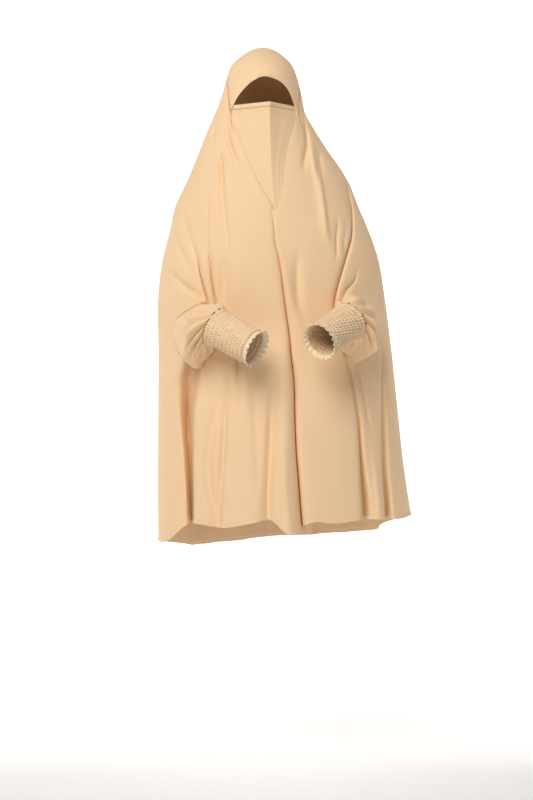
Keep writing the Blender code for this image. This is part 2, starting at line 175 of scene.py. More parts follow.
HEM = [
    HemDip(-180, 0.80), HemDip(-135, 0.97), HemDip(-90, 0.72), HemDip(-60, 0.60), HemDip(-43, 0.16),
    HemDip(-20, 0.21), HemDip(-5, 0.08), HemDip(4, 0.04), HemDip(9, 0.36), HemDip(13, 0.34),
    HemDip(17, 0.12), HemDip(28, 0.10), HemDip(41, 0.02), HemDip(60, 0.05), HemDip(90, 0.00),
    HemDip(135, 0.56), HemDip(180, 0.80),
]

# Folds that the front shows. Names say where they lie.
FRONT_FOLDS: dict[str, Fold] = {
    "left_temple": Fold([Seen(227.8, 74, 0, 3.5, 3), Seen(227.3, 85, 11, 3.5, 3),
                          Seen(229.4, 104, 17, 4, 3.5), Seen(231.5, 121, 13, 4, 3.5),
                          Seen(233, 134, 0, 4, 4)], pinch=0.8),
    "left_cheek": Fold([Seen(225.5, 98, 0, 7, 5), Seen(225.7, 108, 5, 7, 5), Seen(227, 124, 8.5, 8, 5),
                   Seen(229, 140, 10, 8, 5), Seen(233.6, 154, 10, 8, 5), Seen(237.3, 164, 5, 8, 6),
                   Seen(241, 180, 0, 8, 6)], pinch=0.1),
    "left_ear": Fold([Seen(217, 104, 0, 8, 7), Seen(217, 116, 5, 8, 7), Seen(213, 138, 5, 9, 8),
                 Seen(211, 154, 0, 9, 8)], pinch=0.1),
    "left_collar": Fold([Seen(219.6, 148, 0, 6, 6), Seen(219.6, 161, 4, 6, 6), Seen(221.5, 175, 4, 6, 6),
                    Seen(222, 188, 0, 6, 6)], pinch=0.1),
    "right_temple": Fold([Seen(300, 84, 0, 3, 3), Seen(299.6, 95, 10, 3, 3.5),
                           Seen(298.8, 105, 14, 3, 3.5), Seen(300, 116, 11, 3, 4),
                           Seen(301, 127, 0, 3, 4)], pinch=0.8),
    "right_cheek": Fold([Seen(301, 104, 0, 6, 6), Seen(302.4, 113, 6, 6, 6), Seen(305.6, 129, 9, 6, 7),
                    Seen(307, 143, 9, 6, 7), Seen(305, 157, 7.5, 7, 7), Seen(302, 174, 0, 7, 7)], pinch=0.1),
    "right_collar_ridge": Fold([Seen(312, 136, 0, 6, 6), Seen(312.6, 149, -4.5, 6, 5),
                           Seen(314.4, 166, -6, 6, 5), Seen(317, 186, 0, 6, 6)]),
    "right_collar": Fold([Seen(319, 146, 0, 6, 7), Seen(320, 161, 6, 6, 7), Seen(322, 178, 0, 6, 7)], pinch=0.1),
    "left_chest": Fold([Seen(221, 150, 0, 9, 4), Seen(221.5, 165, 7, 10, 4), Seen(222.4, 188, 8.5, 11, 4),
                   Seen(224.3, 207, 8.5, 11, 4), Seen(226, 225, 7, 11, 4), Seen(227.5, 239, 5, 10, 4),
                   Seen(228.5, 256, 0, 9, 5)], pinch=0.1),
    "left_breast": Fold([Seen(208, 190, 0, 6, 5), Seen(208, 205, 3, 6, 5), Seen(207.6, 217, 4.5, 6, 5),
                    Seen(206.8, 232, 4.5, 6, 5), Seen(208.5, 249, 6, 6, 5), Seen(210.4, 265, 10.5, 7, 5),
                    Seen(211.7, 281, 15, 7, 5), Seen(214, 295, 16.5, 7, 5), Seen(216, 308, 13.5, 7, 6),
                    Seen(217, 330, 0, 7, 6)], pinch=0.6),
    "left_arm_pit": Fold([Seen(198.5, 254, 0, 5, 5), Seen(199.2, 269, 11, 5, 5), Seen(202.9, 285, 17, 5, 5),
                     Seen(205.7, 295, 16, 5, 5), Seen(207.5, 308, 9, 5, 5), Seen(208, 322, 0, 5, 5)], pinch=0.8),
    "left_arm_cross": Fold([Seen(165, 268, 0, 9, 9), Seen(170.4, 273, 7, 9, 9), Seen(180.6, 282, 10, 9, 9),
                       Seen(191.8, 291, 10, 9, 9), Seen(198.3, 295, 7, 9, 9), Seen(204, 300, 0, 9, 9)], pinch=0.1),
    "left_arm_long": Fold([Seen(182.5, 203, 0, 8, 7), Seen(184.4, 217, 5, 8, 7), Seen(190.9, 239, 6.5, 8, 7),
                      Seen(196.4, 258, 8, 8, 6), Seen(199.2, 268, 6.5, 7, 6), Seen(201, 278, 0, 7, 6)], pinch=0.1),
    "left_arm_outer": Fold([Seen(168, 216, 0, 9, 9), Seen(173, 230, 5, 9, 9), Seen(187, 263, 5.5, 9, 8),
                       Seen(194, 282, 0, 9, 8)], pinch=0.1),
    "left_waist": Fold([Seen(223.4, 252, 0, 12, 12), Seen(223.4, 267, 7, 12, 12),
                   Seen(223.4, 295, 8.5, 12, 12), Seen(224, 314, 0, 12, 12)], pinch=0.1),
    "centre": Fold([Seen(272.5, 203, 0, 5, 3), Seen(272.8, 214, 4, 5, 3), Seen(274.2, 229, 7, 5, 3.5),
               Seen(275.7, 246, 10, 5, 4), Seen(278.8, 258, 13, 6, 4), Seen(281.4, 274, 17, 6, 4),
               Seen(284, 294.5, 23, 6, 4.5), Seen(286, 310, 26, 6, 5), Seen(289, 330, 29, 6, 5),
               Seen(291.5, 355, 32, 7, 5), Seen(294.6, 386, 36, 7, 5), Seen(295.3, 416, 38, 7, 5),
               Seen(296.6, 450, 41, 7, 5.5), Seen(299.3, 484, 44, 8, 6), Seen(302.7, 525, 46, 9, 6),
               Seen(304, 545, 46, 9, 6)], pinch=0.85, lean=0.1),
    "centre_pipe": Fold([Seen(278, 236, 0, 7, 6), Seen(283, 258, -3, 7, 6), Seen(287, 280, -5, 7, 7),
                    Seen(291, 300, -5, 8, 8), Seen(300, 330, -3, 10, 10), Seen(306, 352, 0, 12, 12)]),
    "hem_pipe": Fold([Seen(284, 330, 0, 14, 12), Seen(284, 370, -5, 14, 11), Seen(284.5, 420, -9, 14, 11),
                 Seen(285, 470, -12, 14, 11), Seen(288, 520, -14, 14, 12), Seen(290, 545, -14, 14, 12)]),
    "right_breast_step": Fold([Seen(318, 168, 0, 10, 4), Seen(320.3, 181, -6.5, 11, 4),
                          Seen(323.4, 201, -8, 12, 4), Seen(326.5, 227, -6.5, 12, 4),
                          Seen(329, 246, 0, 12, 5)]),
    "right_short_a": Fold([Seen(338.8, 216, 0, 4, 4), Seen(337.9, 227, 5, 4, 4), Seen(336.3, 239, 7, 4, 4),
                      Seen(336.8, 250, 5, 4, 4), Seen(337, 262, 0, 4, 4)], pinch=0.6),
    "right_short_b": Fold([Seen(347, 219, 0, 4, 4), Seen(346, 229, 4, 4, 4), Seen(344, 241, 5, 4, 4),
                      Seen(343, 251, 3, 4, 4), Seen(342, 262, 0, 4, 4)], pinch=0.6),
    "right_arm_pit": Fold([Seen(352, 200, 0, 5, 5), Seen(352.4, 221, 17, 5, 5), Seen(351.3, 238, 22, 6, 5),
                      Seen(348.2, 250, 22, 6, 5), Seen(344, 264, 22, 6, 5), Seen(340, 278, 20, 6, 5),
                      Seen(334.8, 299, 15, 6, 5), Seen(333, 312, 8, 6, 5), Seen(332, 326, 0, 6, 5)], pinch=0.8),
    "right_arm_second": Fold([Seen(357, 268, 0, 4, 4), Seen(354.4, 281, 7, 4, 4), Seen(347.2, 289, 9, 5, 4),
                         Seen(342, 299, 7, 5, 4), Seen(338, 312, 0, 5, 4)], pinch=0.7),
    "right_shoulder": Fold([Seen(345.5, 168, 0, 8, 8), Seen(347, 182, 6, 8, 8), Seen(350, 200, 7.5, 8, 8),
                       Seen(352, 216, 4.5, 8, 8), Seen(352, 228, 0, 8, 8)], pinch=0.1),
    "right_waist": Fold([Seen(297, 246, 0, 9, 10), Seen(297, 268, 7, 9, 10), Seen(298, 290, 7, 9, 10),
                    Seen(300, 314, 0, 9, 10)], pinch=0.1),
    "left_gap": Fold([Seen(200, 330, 0, 12, 10), Seen(196, 350, 25, 16, 14), Seen(190.5, 375, 50, 24, 22),
                      Seen(188.5, 395, 62, 18, 22), Seen(187.5, 412, 68, 14, 18),
                      Seen(188.5, 450, 72, 9, 13), Seen(190, 490, 72, 7, 10),
                      Seen(191, 548, 72, 7, 8)], pinch=0.1),
    "left_panel": Fold([Seen(186, 362, 0, 40, 6), Seen(185, 400, 14, 40, 6), Seen(184.5, 450, 22, 40, 6),
                        Seen(187, 500, 25, 40, 6), Seen(189, 550, 25, 40, 6)], pinch=0.0),
    "left_valley": Fold([Seen(218, 384, 0, 12, 11), Seen(217.9, 403, 6, 12, 11), Seen(211, 436, 9.5, 12, 11),
                    Seen(208.4, 477, 11, 12, 12), Seen(214, 511, 11, 12, 12), Seen(216, 545, 11, 12, 12)], pinch=0.1),
    "left_lip": Fold([Seen(231, 362, 0, 9, 4), Seen(230, 382, 6.5, 9, 4), Seen(226, 416, 10.5, 10, 4),
                 Seen(224, 450, 11.5, 10, 4), Seen(221.9, 484, 11.5, 10, 4), Seen(220, 518, 10.5, 10, 5),
                 Seen(220, 545, 10.5, 10, 5)], pinch=0.1),
    "under_cuff": Fold([Seen(236.9, 342, 0, 4, 4), Seen(236.9, 355, 6, 4, 4), Seen(238, 375, 6, 4, 4),
                   Seen(238.2, 393, 4.5, 4, 4), Seen(238.5, 408, 0, 4, 4)], pinch=0.6),
    "left_middle": Fold([Seen(251.5, 350, 0, 9, 9), Seen(251.8, 366, 4.5, 9, 9), Seen(253.8, 400, 6, 9, 9),
                    Seen(257.2, 450, 6, 9, 9), Seen(257.2, 477, 4.5, 9, 9), Seen(258, 502, 0, 9, 9)], pinch=0.1),
    "hem_valley": Fold([Seen(273, 368, 0, 9, 9), Seen(272.9, 388, 7, 9, 9), Seen(271.5, 423, 12, 9, 9),
                   Seen(269.5, 464, 16, 10, 9), Seen(268.1, 504, 18, 10, 9), Seen(268.8, 545, 18, 10, 9)], pinch=0.0),
    "right_line": Fold([Seen(344.5, 342, 0, 4, 4), Seen(345.5, 355, 7, 4, 4), Seen(350, 373, 10, 4, 4),
                        Seen(355.5, 400, 12, 4, 4), Seen(358.5, 423, 15, 4, 5), Seen(360, 450, 20, 4, 6),
                        Seen(361.5, 475, 28, 4, 9), Seen(363, 497, 36, 4, 12),
                        Seen(364, 517, 42, 4, 14), Seen(365, 545, 44, 4, 14)], pinch=0.35, lean=-0.35),
    "right_second": Fold([Seen(356, 356, 0, 4, 4), Seen(357, 369, 5, 4, 4), Seen(362.4, 388, 6, 4, 4),
                     Seen(366.5, 409, 6, 4, 4), Seen(369.2, 423, 4, 4, 4), Seen(371, 438, 0, 4, 4)], pinch=0.6),
    "right_strip": Fold([Seen(372, 436, 0, 8, 8), Seen(376, 470, -5, 8, 8), Seen(379, 505, -8, 8, 8),
                    Seen(380, 545, -8, 8, 8)]),
    "right_gap": Fold([Seen(381.5, 330, 0, 5, 8), Seen(381.5, 355, 7, 5, 10), Seen(382, 390, 14, 5, 12),
                       Seen(382.5, 430, 20, 5, 13), Seen(383, 470, 27, 5, 14), Seen(385, 497, 34, 5, 14),
                       Seen(387, 520, 40, 5, 13), Seen(388, 548, 42, 5, 13)], pinch=0.3, lean=-0.3),
}

# Folds at the sides and the back, by drop and turn.
BACK_FOLDS: dict[str, Fold] = {
    "right_back": Fold([Station(0.35, 118, 0, 45, 45), Station(0.70, 120, 15, 45, 45),
                   Station(1.00, 121, 26, 45, 45)]),
    "right_side_soft": Fold([Station(0.45, 98, 0, 20, 24), Station(0.72, 96, 6, 20, 24),
                        Station(1.00, 95, 12, 20, 24)]),
    "right_hip": Fold([Station(0.52, 139, 0, 18, 22), Station(0.78, 141, 7, 18, 22),
                  Station(1.00, 142, 13, 18, 22)]),
    "back_right": Fold([Station(0.30, 152, 0, 38, 40), Station(0.70, 156, 18, 38, 40),
                   Station(1.00, 158, 30, 38, 40)]),
    "back_middle": Fold([Station(0.42, 176, 0, 22, 26), Station(0.75, 177, 8, 22, 26),
                    Station(1.00, 178, 16, 22, 26)]),
    "back_left": Fold([Station(0.30, -158, 0, 40, 38), Station(0.70, -164, 19, 40, 38),
                  Station(1.00, -166, 31, 40, 38)]),
    "left_hip": Fold([Station(0.50, -145, 0, 20, 18), Station(0.76, -146, 6, 20, 18),
                 Station(1.00, -147, 12, 20, 18)]),
    "left_back": Fold([Station(0.35, -122, 0, 45, 45), Station(0.70, -126, 17, 45, 45),
                  Station(1.00, -128, 29, 45, 45)]),
    "left_side_soft": Fold([Station(0.48, -98, 0, 22, 22), Station(0.74, -97, 5, 22, 22),
                       Station(1.00, -97, 10, 22, 22)]),
    "left_nape": Fold([Station(0.14, -128, 0, 16, 16), Station(0.24, -134, 5, 16, 16),
                  Station(0.36, -142, 4, 18, 18), Station(0.50, -150, 0, 20, 20)]),
    "right_nape": Fold([Station(0.15, 126, 0, 16, 16), Station(0.25, 133, 5, 16, 16),
                   Station(0.37, 140, 4, 18, 18), Station(0.52, 147, 0, 20, 20)]),
    "back_nape": Fold([Station(0.13, 171, 0, 18, 18), Station(0.22, 172, 5, 18, 18),
                  Station(0.34, 172, 3, 20, 20), Station(0.46, 172, 0, 22, 22)]),
    "left_shoulder_side": Fold([Station(0.20, -84, 0, 12, 12), Station(0.30, -80, 4, 12, 12),
                           Station(0.42, -78, 3, 14, 14), Station(0.55, -77, 0, 14, 14)]),
    "right_shoulder_side": Fold([Station(0.20, 88, 0, 12, 12), Station(0.30, 86, 4, 12, 12),
                            Station(0.42, 85, 3, 14, 14), Station(0.55, 84, 0, 14, 14)]),
}


@dataclass(frozen=True)
class FrontView:
    """The camera that the front is seen with, level and without shift."""
    across: float = 0.008
    back: float = 3.8
    height: float = -0.792
    lens_mm: float = 76.0
    sensor_mm: float = 36.0
    wide: int = 533
    tall: int = 800

    def metres_per_pixel(self) -> float:
        """Size of a pixel in the plane through the crown."""
        return self.back * self.sensor_mm / self.lens_mm / self.tall


@dataclass
class DrapedForm:
    """The outer face of the cape as a surface over drop (share of the front length) and turn.

    Folds go straight back up to the first turn of straight_folds, and towards the body past the
    second.
    """
    view: FrontView
    front_length: float = 1.05
    half_width: float = 0.285
    half_depth: float = 0.19
    hem_dip: float = 0.080
    dip_start: float = 0.35
    straight_folds: tuple = (72.0, 100.0)
    folds: dict[str, Fold] = field(default_factory=dict)

    def __post_init__(self) -> None:
        """Places every fold on the bare form."""
        for name, fold in FRONT_FOLDS.items():
            placed = [Station(*self.under_pixel(s.px, s.py), s.depth, s.left, s.right)
                      for s in fold.stations]
            self.folds[name] = replace(fold, stations=placed)
        self.folds.update(BACK_FOLDS)

    def reach(self, drop: np.ndarray, turn: np.ndarray) -> tuple[np.ndarray, np.ndarray]:
        """Half axes of the bare section.

        Args:
            drop: drops.
            turn: turns in degrees, of the same shape.

        Returns:
            The half axes across and along, in metres.
        """
        at = np.sqrt(np.clip(drop, 0, None))
        heights = [math.sqrt(s.drop) for s in SECTIONS]
        left, right = (self.half_width * curve_through(at, heights, [getattr(s, k) for s in SECTIONS])
                       for k in ("left", "right"))
        front, back = (self.half_depth * curve_through(at, heights, [getattr(s, k) for s in SECTIONS])
                       for k in ("front", "back"))
        turn = wrapped(turn)
        return np.where(turn > 0, right, left), np.where(np.abs(turn) < 90, front, back)

    def height(self, drop: np.ndarray, turn: np.ndarray) -> np.ndarray:
        """Height of a point, with the hem's dips easing in towards the hem."""
        dip = self.hem_dip * curve_through(wrapped(turn), [h.turn for h in HEM], [h.dip for h in HEM])
        return -drop * self.front_length - dip * ease(drop, self.dip_start, 1.0)

    def bare(self, drop: np.ndarray, turn: np.ndarray) -> tuple[np.ndarray, np.ndarray]:
        """Points of the cape without its folds.

        Args:
            drop: drops.
            turn: turns in degrees, of the same shape.

        Returns:
            The points and the level outward directions, with a last axis of three.
        """
        drop, turn = np.broadcast_arrays(np.asarray(drop, float), np.asarray(turn, float))
        across, along = self.reach(drop, turn)
        angle = np.radians(turn)
        points = np.stack([across * np.sin(angle), -along * np.cos(angle), self.height(drop, turn)], -1)
        out = np.stack([(along + 1e-9) * np.sin(angle), -(across + 1e-9) * np.cos(angle),
                        np.zeros_like(angle)], -1)
        return points, out / np.linalg.norm(out, axis=-1, keepdims=True)

    def under_pixel(self, px: float, py: float) -> tuple[float, float]:
        """Drop and turn of the bare cape's point that the front view shows at a pixel.

        Args:
            px: pixels from the left.
            py: pixels from the top.

        Returns:
            The drop and the turn in degrees.
        """
        pixel = self.view.metres_per_pixel()
        y, drop, turn = -0.15, 0.5, 0.0
        for _ in range(12):
            near = (self.view.back + y) / self.view.back
            x = self.view.across + (px - self.view.wide / 2) * pixel * near
            z = self.view.height - (py - self.view.tall / 2) * pixel * near
            drop += (float(self.height(drop, turn)) - z) / self.front_length
            drop = min(max(drop, 0.002), 1.02)
            across, along = self.reach(np.array(drop), np.array(1.0 if x > 0 else -1.0))
            turn = math.degrees(math.asin(max(-1.0, min(1.0, x / float(across)))))
            y = -float(along) * math.cos(math.radians(turn))
        return drop, turn

    def metres_per_radian(self, drop: np.ndarray, turn: np.ndarray) -> np.ndarray:
        """Length of cloth round the bare cape per radian of turn."""
        across, along = self.reach(drop, turn)
        angle = np.radians(turn)
        return np.hypot(across * np.cos(angle), along * np.sin(angle))

    def folded(self, drop: np.ndarray, turn: np.ndarray) -> tuple[np.ndarray, np.ndarray]:
        """How the folds together move the cloth.

        Args:
            drop: drops.
            turn: turns in degrees, of the same shape.

        Returns:
            How far it moves in, and how far it moves round towards +X at the front, in metres.
        """
        metres_per_radian = self.metres_per_radian(drop, turn)
        inwards = np.zeros_like(metres_per_radian)
        round_it = np.zeros_like(metres_per_radian)
        for fold in self.folds.values():
            drops = [s.drop for s in fold.stations]
            line, depth, left, right = (
                curve_through(drop, drops, [getattr(s, k) for s in fold.stations])
                for k in ("turn", "depth", "left", "right"))
            away = np.radians(wrapped(turn - line)) * metres_per_radian
            width = np.where(away < 0, left, right) * MM
            inwards += depth * MM * np.exp(-(away / width) ** 2)
            strength = np.clip(depth / 7.0, 0.0, 1.0)
            pull = np.clip(fold.pinch + np.where(away < 0, -fold.lean, fold.lean), 0, None) * width
            far = away / (width * 1.15)
            round_it -= strength * pull * far * np.exp(0.5 * (1 - far**2))
        return inwards, round_it

    def points(self, drop: np.ndarray, turn: np.ndarray, inside: float = 0.0) -> np.ndarray:
        """Points of the folded cape.

        Args:
            drop: drops.
            turn: turns in degrees, of the same shape.
            inside: how far behind the outer face, in metres.

        Returns:
            The points, with a last axis of three.
        """
        drop, turn = np.broadcast_arrays(np.asarray(drop, float), np.asarray(turn, float))
        points, out = self.bare(drop, turn)
        inwards, round_it = self.folded(drop, turn)
        beside = np.stack([-out[..., 1], out[..., 0], np.zeros_like(inwards)], -1)
        away = ease(np.abs(wrapped(turn)), *self.straight_folds)[..., None]
        into_fold = -out * away + np.array((0, 1, 0)) * (1 - away)
        return (points + into_fold * inwards[..., None] - out * inside
                + beside * round_it[..., None])

    def column_turns(self, drop: float, columns: int) -> np.ndarray:
        """Turns of a row's columns, closer together beside the folds.

        Args:
            drop: the row's drop.
            columns: number of columns round the cape.

        Returns:
            Rising turns in degrees from -180 to 180.
        """
        fine = np.linspace(-180, 180, 2881)
        metres_per_radian = self.metres_per_radian(np.full_like(fine, drop), fine) + 1e-4
        crowd = np.zeros_like(fine)
        for fold in self.folds.values():
            drops = [s.drop for s in fold.stations]
            line, depth, left, right = (
                float(curve_through(np.array(drop), drops, [getattr(s, k) for s in fold.stations]))
                for k in ("turn", "depth", "left", "right"))
            away = np.radians(wrapped(fine - line)) * metres_per_radian
            width = np.where(away < 0, left, right) * MM
            steep = min(abs(depth) / min(left, right), 5.0)
            crowd += steep * 0.55 * np.exp(-(away / width / 1.5) ** 2)
        weight = metres_per_radian * (1 + crowd)
        run = np.concatenate([[0], np.cumsum((weight[1:] + weight[:-1]) / 2)])
        return np.interp(np.linspace(0, run[-1], columns + 1), run, fine)


# ---- meshes from operators ----

def mapped_grid(points: np.ndarray, uv: np.ndarray, gone: np.ndarray | None = None) -> bmesh.types.BMesh:
    """Grid whose vertices are moved to given points.

    Args:
        points: array of rows by columns of points.
        uv: array of rows by columns of two lengths in metres.
        gone: array of rows by columns, true where the cloth is cut away.

    Returns:
        The mesh, with its double vertices merged.
    """
    rows, columns = points.shape[0] - 1, points.shape[1] - 1
    bm = bmesh.new()
    layer = bm.loops.layers.uv.new("cloth")
    bmesh.ops.create_grid(bm, x_segments=columns, y_segments=rows, size=0.5, calc_uvs=True)
    spot = {}
    for vert in bm.verts:
        at = (round((0.5 - vert.co.y) * rows), round((vert.co.x + 0.5) * columns))
        spot[vert] = at
        vert.co = points[at]
    for face in bm.faces:
        for loop in face.loops:
            loop[layer].uv = uv[spot[loop.vert]]
    if gone is not None:
        cut = [face for face in bm.faces if all(gone[spot[v]] for v in face.verts)]
        bmesh.ops.delete(bm, geom=cut, context="FACES")
    bmesh.ops.remove_doubles(bm, verts=bm.verts, dist=2e-5)
    flat = [face for face in bm.faces if face.calc_area() < 1e-10]
    bmesh.ops.delete(bm, geom=flat, context="FACES")
    return bm


def finished(name: str, bm: bmesh.types.BMesh, finish: bpy.types.Material,
             node: str) -> bpy.types.Object:
    """Makes a piece of a mesh and lets it stand for its CAD node.

    Args:
        name: name of the piece.
        bm: its mesh, which is freed.
        finish: its material.
        node: the CAD node that it stands for.

    Returns:
        The piece.
    """
    mesh = bpy.data.meshes.new(name)
    bm.to_mesh(mesh)
    bm.free()
    mesh.shade_smooth()
    mesh.materials.append(finish)
    piece = bpy.data.objects.new(name, mesh)
    bpy.context.scene.collection.objects.link(piece)
    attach(piece, "root")
    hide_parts(node)
    log.info("%s: %d faces", name, len(mesh.polygons))
    return piece


def give_wall(piece: bpy.types.Object, thickness: float) -> None:
    """Gives a sheet its thickness, inwards.

    Args:
        piece: the sheet.
        thickness: its thickness in metres.
    """
    wall = piece.modifiers.new("wall", "SOLIDIFY")
    wall.thickness = thickness
    wall.offset = -1
    wall.use_rim = True


def facing_out(bm: bmesh.types.BMesh, away_from: Vector) -> None:
    """Turns the faces of an open sheet away from a point inside it.

    Args:
        bm: the mesh.
        away_from: a point on its inner side.
    """
    score = sum((f.calc_center_median() - away_from).normalized().dot(f.normal) * f.calc_area()
                for f in bm.faces)
    if score < 0:
        bmesh.ops.reverse_faces(bm, faces=bm.faces)
    bm.normal_update()


def lengths_of(points: np.ndarray) -> np.ndarray:
    """Lengths in metres along the columns and down the rows of a grid of points.

    Args:
        points: array of rows by columns of points.

    Returns:
        Array of rows by columns of two lengths.
    """
    across = np.zeros(points.shape[:2])
    down = np.zeros(points.shape[:2])
    across[:, 1:] = np.cumsum(np.linalg.norm(np.diff(points, axis=1), axis=-1), axis=1)
    down[1:] = np.cumsum(np.linalg.norm(np.diff(points, axis=0), axis=-1), axis=0)
    return np.stack([across, down], -1)


def tube_points(line: np.ndarray, outward: np.ndarray, wide: float, thick: float, sides: int,
                lobes: int = 0, lobe_depth: float = 0.0) -> np.ndarray:
    """Points of an oval tube along a closed or open line.

    Args:
        line: points along its middle.
        outward: direction of the tube's short axis at each of them.
        wide: half of its size across that direction.
        thick: half of its size in that direction.
        sides: number of sides.
        lobes: number of stitches that nip it along its length, or 0.
        lobe_depth: how far each stitch nips it, as a share.

    Returns:
        Array of line points by sides of points, the first side repeated at the end.
    """
    ahead = np.gradient(line, axis=0)
    ahead /= np.linalg.norm(ahead, axis=1, keepdims=True)
    out = outward - (outward * ahead).sum(1, keepdims=True) * ahead
    out /= np.linalg.norm(out, axis=1, keepdims=True)
    side = np.cross(ahead, out)
    angle = np.linspace(0, 2 * math.pi, sides + 1)[None, :, None]
    nip = 1 - lobe_depth * (0.5 + 0.5 * np.cos(2 * math.pi * lobes * np.linspace(0, 1, len(line))))
    nip = nip[:, None, None] if lobes else 1.0
    return (line[:, None] + side[:, None] * np.cos(angle) * wide * nip
            + out[:, None] * np.sin(angle) * thick * nip)


# ---- finishes ----

def linear(code: str) -> tuple[float, float, float, float]:
    """Turns an sRGB hex code to a linear colour.

    Args:
        code: six hex digits.

    Returns:
        Red, green, blue and 1.
    """
    parts = (int(code[i:i + 2], 16) / 255 for i in (0, 2, 4))
    return (*(c / 12.92 if c <= 0.04045 else ((c + 0.055) / 1.055) ** 2.4 for c in parts), 1.0)


def add_node(material: bpy.types.Material, kind: str, settings: dict | None = None,
             **inputs: object) -> bpy.types.Node:
    """Adds a node with its settings, values and links.

    Args:
        material: the material to add it to.
        kind: the node's type.
        settings: its properties.
        **inputs: input sockets by name, underscores for spaces, each a value or an output socket.

    Returns:
        The node.
    """
    node = material.node_tree.nodes.new(kind)
    for key, value in (settings or {}).items():
        setattr(node, key, value)
    for key, value in inputs.items():
        name = key.replace("_", " ")
        socket = node.inputs[int(name[2:])] if name.startswith("at") and name[2:].isdigit() \
            else node.inputs[name]
        if isinstance(value, bpy.types.NodeSocket):
            material.node_tree.links.new(value, socket)
        else:
            socket.default_value = value
    return node


class Sewing(Enum):
    """How the edge of a cloth is sewn, and how far its stitches lie from the edge, in mm."""
    NONE = 0.0
    TURNED_HEM = 8.5
    CASING = 8.0


@dataclass(frozen=True)
class Crepe:
    """Polyester crepe: highly twisted yarn, so the surface is matt and finely pebbled.

    The twist gives a soft bloom at grazing angles and no gloss.
    """
    name: str
    light: str
    deep: str
    pebble_mm: float = 1.6
    pebble_height_mm: float = 0.10
    roughness: float = 0.88
    sheen: float = 0.12
    sewing: Sewing = Sewing.NONE
    stitch_mm: float = 3.2

    def material(self) -> bpy.types.Material:
        """Builds the material: colour drift of the dye lot, pebbled grain and, at a hem, its stitches with painted
        shade in their dents.
        """
        made = bpy.data.materials.new(self.name)
        made.use_nodes = True
        shader = made.node_tree.nodes["Principled BSDF"]
        shader.inputs["Roughness"].default_value = self.roughness
        shader.inputs["Sheen Weight"].default_value = self.sheen
        shader.inputs["Sheen Roughness"].default_value = 0.5
        shader.inputs["Sheen Tint"].default_value = linear("FFE9CC")
        shader.inputs["Specular IOR Level"].default_value = 0.2
        place = add_node(made, "ShaderNodeTexCoord")
        drift = add_node(made, "ShaderNodeTexNoise", Vector=place.outputs["Object"], Scale=7.0,
                         Detail=3.0)
        grain = add_node(made, "ShaderNodeTexNoise", Vector=place.outputs["Object"],
                         Scale=1 / (self.pebble_mm * MM * 2), Detail=2.0, Roughness=0.6)
        tone = add_node(made, "ShaderNodeMath", {"operation": "MULTIPLY_ADD"}, at0=grain.outputs["Fac"],
                        at1=0.55, at2=0.0)
        tone = add_node(made, "ShaderNodeMath", {"operation": "MULTIPLY_ADD"},
                        at0=drift.outputs["Fac"], at1=0.45, at2=tone.outputs["Value"])
        colour = add_node(made, "ShaderNodeMix", {"data_type": "RGBA"}, at0=tone.outputs["Value"],
                          at6=linear(self.deep), at7=linear(self.light))
        bump = add_node(made, "ShaderNodeBump", Strength=0.5, Distance=self.pebble_height_mm * MM,
                        Height=grain.outputs["Fac"])
        surface, relief = colour.outputs[2], bump.outputs["Normal"]
        if self.sewing is not Sewing.NONE:
            surface, relief = self.stitched(made, surface, relief)
        links = made.node_tree.links
        links.new(surface, shader.inputs["Base Color"])
        links.new(relief, shader.inputs["Normal"])
        return made

    def stitched(self, made: bpy.types.Material, surface: bpy.types.NodeSocket,
                 relief: bpy.types.NodeSocket) -> tuple[bpy.types.NodeSocket, bpy.types.NodeSocket]:
        """Adds a row of stitches along the edge, by the cloth's own lengths: dents in the bump, with painted shade
        that darkens the colour in the stitch dents.

        Args:
            made: the material.
            surface: its colour so far.
            relief: its normal so far.

        Returns:
            The colour with painted shade at the stitches, and the normal with their dents.
        """
        cloth = add_node(made, "ShaderNodeUVMap", {"uv_map": "cloth"})
        parts = add_node(made, "ShaderNodeSeparateXYZ", Vector=cloth.outputs["UV"])
        row = self.sewing.value * MM
        away = add_node(made, "ShaderNodeMath", {"operation": "SUBTRACT"}, at0=parts.outputs["Y"], at1=row)
        away = add_node(made, "ShaderNodeMath", {"operation": "ABSOLUTE"}, at0=away.outputs["Value"])
        near = add_node(made, "ShaderNodeMapRange", {"interpolation_type": "SMOOTHSTEP"},
                        Value=away.outputs["Value"], From_Min=0.0, From_Max=0.9 * MM, To_Min=1.0,
                        To_Max=0.0)
        beat = add_node(made, "ShaderNodeMath", {"operation": "MULTIPLY"}, at0=parts.outputs["X"],
                        at1=2 * math.pi / (self.stitch_mm * MM))
        beat = add_node(made, "ShaderNodeMath", {"operation": "SINE"}, at0=beat.outputs["Value"])
        beat = add_node(made, "ShaderNodeMath", {"operation": "MULTIPLY_ADD"}, at0=beat.outputs["Value"],
                        at1=0.5, at2=0.5)
        stitch_dent_and_painted_shade = add_node(made, "ShaderNodeMath", {"operation": "MULTIPLY"}, at0=near.outputs["Result"],
                        at1=beat.outputs["Value"])
        # Painted shade: the colour darkens towards the deep tone in the stitch dents.
        colour = add_node(made, "ShaderNodeMix", {"data_type": "RGBA"}, at0=stitch_dent_and_painted_shade.outputs["Value"],
                          at6=surface, at7=linear(self.deep))
        bump = add_node(made, "ShaderNodeBump", {"invert": True}, Strength=0.7, Distance=0.4 * MM,
                        Height=stitch_dent_and_painted_shade.outputs["Value"], Normal=relief)
        return colour.outputs[2], bump.outputs["Normal"]


